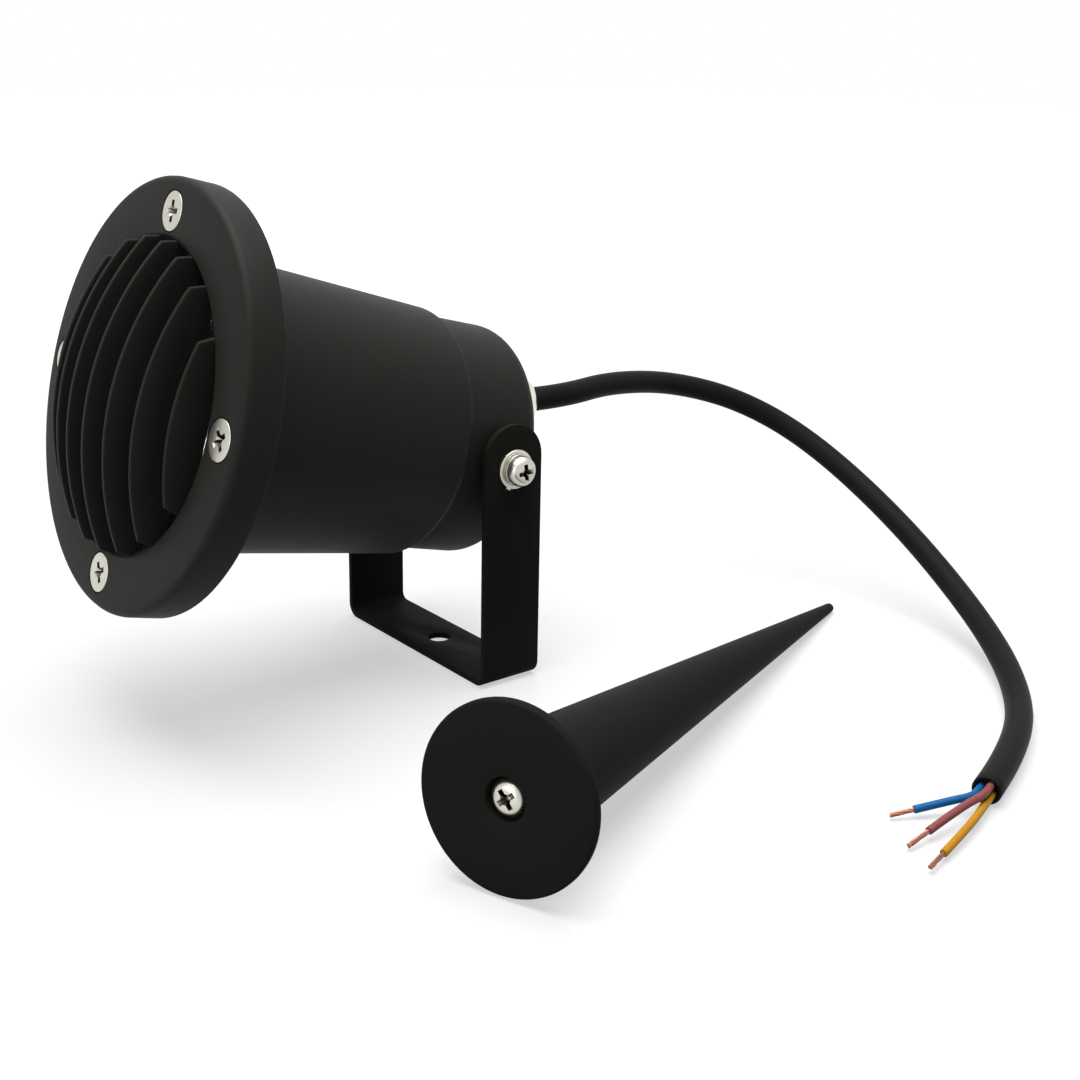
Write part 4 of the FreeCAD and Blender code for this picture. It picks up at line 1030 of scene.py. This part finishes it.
def tube(line, radius, sides=32, bore=None):
    """A round tube along a line of points, with a UV map that goes round it and along it."""
    bm = bmesh.new()
    layer = bm.loops.layers.uv.new("tracks")
    heading = (line[1] - line[0]).normalized()
    turn = heading.to_track_quat("Z", "Y")
    made = bmesh.ops.create_circle(bm, cap_ends=False, segments=sides, radius=radius)
    circle = made["verts"]
    bmesh.ops.transform(bm, matrix=Matrix.Translation(line[0]) @ turn.to_matrix().to_4x4(),
                        verts=circle)
    start = list(circle)
    travelled = 0.0
    for before, here, after in zip(line, line[1:], line[2:] + [line[-1] * 2 - line[-2]]):
        heading_now = ((here - before).normalized() + (after - here).normalized()).normalized()
        swing = heading.rotation_difference(heading_now)
        edges = [edge for edge in bm.edges if edge.is_boundary or edge.is_wire]
        edges = [edge for edge in edges if all(vert in circle for vert in edge.verts)]
        grown = bmesh.ops.extrude_edge_only(bm, edges=edges)
        ring_verts = verts_of(grown)
        faces = [item for item in grown["geom"] if isinstance(item, bmesh.types.BMFace)]
        bmesh.ops.transform(bm, verts=ring_verts,
                            matrix=Matrix.Translation(here) @ swing.to_matrix().to_4x4()
                            @ Matrix.Translation(-before))
        step = (here - before).length
        old = set(circle)
        for face in faces:
            for loop in face.loops:
                place = travelled + (0.0 if loop.vert in old else step)
                loop[layer].uv = (0.0, place)
        circle = ring_verts
        travelled += step
        heading = heading_now
    wind_uv(bm, layer, sides)
    first = bmesh.ops.contextual_create(bm, geom=[edge for edge in bm.edges if edge.is_boundary
                                        and edge.verts[0] in start and edge.verts[1] in start])
    last = bmesh.ops.contextual_create(bm, geom=[edge for edge in bm.edges if edge.is_boundary
                                       and edge.verts[0] in circle and edge.verts[1] in circle])
    bmesh.ops.recalc_face_normals(bm, faces=bm.faces)
    for cap in first["faces"] + last["faces"]:
        rim = list(cap.edges)
        if bore and cap in last["faces"]:
            inner = bmesh.ops.inset_region(bm, faces=[cap], thickness=radius - bore,
                                           use_even_offset=True)
            sunk = bmesh.ops.extrude_face_region(bm, geom=[cap])
            bmesh.ops.translate(bm, vec=-heading * BORE_DEPTH * MM, verts=verts_of(sunk))
            bmesh.ops.delete(bm, geom=[cap], context="FACES_ONLY")
            rim += [edge for face in inner["faces"] for edge in face.edges]
        rounding = min(0.3 * MM, radius * 0.16)
        chosen = [edge for edge in set(rim) if edge.is_valid
                  and edge.calc_face_angle(0) > math.radians(60)]
        bevelled(bm, chosen, rounding, clamp=False)
    return bm


def wind_uv(bm, layer, sides):
    """Sets how far round the tube each face corner is, without a jump inside a face."""
    bm.verts.index_update()
    for face in bm.faces:
        places = [(loop.vert.index % sides) / sides for loop in face.loops]
        if max(places) - min(places) > 0.5:
            places = [place + 1 if place < 0.5 else place for place in places]
        for loop, place in zip(face.loops, places):
            loop[layer].uv = (place, loop[layer].uv[1])


# A core's strands, the steps along one, and the twist over its length in radians.
STRANDS = 7
STRAND_STEPS = 8
STRAND_TWIST = 2.4


def strands(start, heading, radius, reach, first_turn):
    """Fine strands, one in the middle, twisted together and a little open at their ends."""
    side = heading.orthogonal().normalized()
    up = heading.cross(side)
    thin = radius * 0.36
    shapes = []
    for number in range(STRANDS):
        circle = 0.0 if number == STRANDS - 1 else radius * 0.64
        line = []
        for step in range(STRAND_STEPS + 1):
            share = step / STRAND_STEPS
            turn = first_turn + number * TURN / (STRANDS - 1) + share * STRAND_TWIST
            spread = circle * (1 + 0.10 * share ** 3)
            tail = reach * (1 - 0.012 * ((number * 5) % 4))
            line.append(start + heading * (tail * share)
                        + side * (spread * math.cos(turn)) + up * (spread * math.sin(turn)))
        shapes.append(tube(line, thin, sides=8))
    return joined(shapes)


class SPOTLIGHT_OT_cord(bpy.types.Operator):
    """Lays the supply cord with its bared cores and copper ends"""
    bl_idname = "spotlight.cord"
    bl_label = "Cord"

    def execute(self, context):
        head = context.scene.spotlight_head
        sizes = context.scene.spotlight_cord
        place = gland_place(head)
        exit_point = place @ Vector((0, 0, GLAND_END * MM))
        second = place @ Vector((0, 0, (GLAND_END + EXIT_RUN) * MM))
        controls = [exit_point, second] + metres(ROUTE)
        line = smooth_line(controls)
        cord = finished("supply_cord", tube(line, sizes.diameter / 2, bore=CORD_BORE * MM), None,
                        "cord_jacket", ["cord"])
        outward = (controls[-1] - controls[-2]).normalized()
        sideways = outward.cross(Vector((0, 0, 1))).normalized()
        upward = sideways.cross(outward)
        cores = []
        copper = []
        for number, (name, (slot, turned, bare, points)) in enumerate(CORES.items()):
            turn = math.radians(turned)
            offset = (upward * math.sin(turn) - sideways * math.cos(turn)) * CORE_CIRCLE * MM
            first = controls[-1] + offset
            route = [first - outward * CORE_INSIDE * MM, first, first + outward * CORE_START * MM]
            core_line = smooth_line(route + metres(points), 10)
            shape = tube(core_line, sizes.core / 2, sides=20)
            cores.append(finished(f"{name}_lead", shape, None, slot, [name]))
            heading = (core_line[-1] - core_line[-2]).normalized()
            copper.append(strands(core_line[-1] - heading * STRANDS_INSIDE * MM, heading,
                                  sizes.copper / 2, (bare + STRANDS_INSIDE) * MM, number))
        ends = finished("copper_strands", joined(copper), None, "copper", ["copper_ends"])
        for piece in [cord, ends] + cores:
            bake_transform(piece)
        return {"FINISHED"}


# ---- inside the head
class SPOTLIGHT_OT_inside(bpy.types.Operator):
    """Finishes the glass, the lamp, its holder and the wiring, which keep their own shapes"""
    bl_idname = "spotlight.inside"
    bl_label = "Glass, lamp and wiring"

    def execute(self, context):
        slots = {part["node"]: part["material_slot"] for part in frame["record"]["subparts"]}
        for name, node in frame["nodes"].items():
            node.data.materials.clear()
            node.data.materials.append(FINISHES[slots[name]])
        return {"FINISHED"}


# ---- stage
CAMERA_AT = (280.33, -193.77, 141.42)
CAMERA_AZIMUTH = 50.969
CAMERA_ELEVATION = 16.141
CAMERA_ROLL = 1.202
FOCAL_PIXELS = 1481.0
CENTRE_PIXEL = (547.97, 476.80)
PHOTO_PIXELS = 1080
SENSOR = 36.0
# The world's strength as a light, and each light's name, place, target, size and power.
WORLD_LIGHT = 0.22
LIGHTS = (("overhead", (0.0, 0.0, 0.9), (0.03, 0.0, 0.03), (0.9, 0.9), 17.0),
          ("front", (0.2, -0.95, 0.35), (0.03, 0.0, 0.05), (0.6, 0.6), 4.0))


def photo_camera():
    """The camera as it was fitted to the photograph."""
    azimuth, elevation = math.radians(CAMERA_AZIMUTH), math.radians(CAMERA_ELEVATION)
    back = Vector((math.sin(azimuth) * math.cos(elevation),
                   -math.cos(azimuth) * math.cos(elevation), math.sin(elevation)))
    right = Vector((math.cos(azimuth), math.sin(azimuth), 0))
    up = back.cross(right)
    roll = math.radians(CAMERA_ROLL)
    right, up = (right * math.cos(roll) + up * math.sin(roll),
                 up * math.cos(roll) - right * math.sin(roll))
    data = bpy.data.cameras.new("photo_camera")
    data.lens = FOCAL_PIXELS * SENSOR / PHOTO_PIXELS
    data.sensor_width = SENSOR
    data.shift_x = (PHOTO_PIXELS / 2 - CENTRE_PIXEL[0]) / PHOTO_PIXELS
    data.shift_y = (CENTRE_PIXEL[1] - PHOTO_PIXELS / 2) / PHOTO_PIXELS
    data.clip_start = 0.01
    data.clip_end = 50
    camera = placed("photo_camera", data)
    camera.matrix_world = (Matrix.Translation(Vector(CAMERA_AT) * MM)
                           @ Matrix((right, up, back)).transposed().to_4x4())
    bpy.context.scene.camera = camera


def soft_box(name, place, target, size, power):
    """A large area light that looks at a point."""
    data = bpy.data.lights.new(name, "AREA")
    data.shape = "RECTANGLE"
    data.size, data.size_y = size
    data.energy = power
    light = placed(name, data)
    aim = Vector(target) - Vector(place)
    light.matrix_world = (Matrix.Translation(place)
                          @ aim.to_track_quat("-Z", "Y").to_matrix().to_4x4())


def seen_rays(paint):
    """1 on the rays that show a thing: straight, in a mirror or through glass."""
    seen = 0.0
    for kind in ("Is Camera Ray", "Is Glossy Ray", "Is Transmission Ray"):
        seen = paint.maths("MAXIMUM", seen, paint.node("ShaderNodeLightPath", output=kind))
    return seen


def white_world(strength_on_object):
    """White where it is seen, mirrored or seen through, and dimmer as a light."""
    paint = Paint("studio", "worlds")
    level = paint.node("ShaderNodeMapRange", None, {"Value": seen_rays(paint),
                                                    "To Min": strength_on_object, "To Max": 1.0})
    light = paint.node("ShaderNodeBackground", None, {"Color": (1, 1, 1), "Strength": level})
    paint.node("ShaderNodeOutputWorld", None, {"Surface": light})
    bpy.context.scene.world = paint.block


def white_floor():
    """A pale floor that is seen white, keeps the shadows and blends into the white world."""
    bm = bmesh.new()
    bmesh.ops.create_grid(bm, x_segments=2, y_segments=2, size=4.0)
    floor = stand("studio_floor", shifted(bm, z=-0.0002))
    paint = Paint("studio_floor")
    away = paint.node("ShaderNodeVectorMath", {"operation": "LENGTH"}, {0: paint.place},
                      output="Value")
    far = paint.node("ShaderNodeMapRange", {"interpolation_type": "SMOOTHSTEP"},
                     {"Value": away, "From Min": 0.25, "From Max": 0.7, "To Min": 0.54,
                      "To Max": 1.0})
    glow = paint.node("ShaderNodeEmission", None, {"Strength": seen_rays(paint) * far})
    matt = paint.node("ShaderNodeBsdfDiffuse", None, {"Color": (0.3, 0.3, 0.3)})
    both = paint.node("ShaderNodeAddShader", None, {0: matt, 1: glow})
    paint.node("ShaderNodeOutputMaterial", None, {"Surface": both})
    floor.data.materials.append(paint.block)


class SPOTLIGHT_OT_stage(bpy.types.Operator):
    """Sets the camera, the white studio floor, the world and the soft lights"""
    bl_idname = "spotlight.stage"
    bl_label = "Stage"

    def execute(self, context):
        photo_camera()
        white_world(WORLD_LIGHT)
        white_floor()
        for light in LIGHTS:
            soft_box(*light)
        context.scene.view_settings.view_transform = "Standard"
        return {"FINISHED"}


# ---- add-on
OPERATORS = (SPOTLIGHT_OT_inside, SPOTLIGHT_OT_cord, SPOTLIGHT_OT_bezel, SPOTLIGHT_OT_housing,
             SPOTLIGHT_OT_bracket, SPOTLIGHT_OT_spike, SPOTLIGHT_OT_screws,
             SPOTLIGHT_OT_washers, SPOTLIGHT_OT_gland, SPOTLIGHT_OT_stage)
GROUPS = {"spotlight_head": HeadSizes, "spotlight_bracket": BracketSizes,
          "spotlight_spike": SpikeSizes, "spotlight_cord": CordSizes,
          "spotlight_colours": Colours}


class SPOTLIGHT_PT_panel(bpy.types.Panel):
    """Lists the steps that make the spotlight, in order"""
    bl_label = "Garden spotlight"
    bl_idname = "SPOTLIGHT_PT_panel"
    bl_space_type = "VIEW_3D"
    bl_region_type = "UI"
    bl_category = "Spotlight"

    def draw(self, context):
        for step in OPERATORS:
            self.layout.operator(step.bl_idname)


def register():
    for group in GROUPS.values():
        bpy.utils.register_class(group)
    for name, group in GROUPS.items():
        setattr(bpy.types.Scene, name, PointerProperty(type=group))
    for step in OPERATORS + (SPOTLIGHT_PT_panel,):
        bpy.utils.register_class(step)


def unregister():
    for step in reversed(OPERATORS + (SPOTLIGHT_PT_panel,)):
        bpy.utils.unregister_class(step)
    for name in GROUPS:
        delattr(bpy.types.Scene, name)
    for group in GROUPS.values():
        bpy.utils.unregister_class(group)


def main():
    register()
    mix_finishes(bpy.context.scene.spotlight_colours)
    for step in OPERATORS:
        area, name = step.bl_idname.split(".")
        getattr(getattr(bpy.ops, area), name)()


if __name__ == "__main__":
    main()
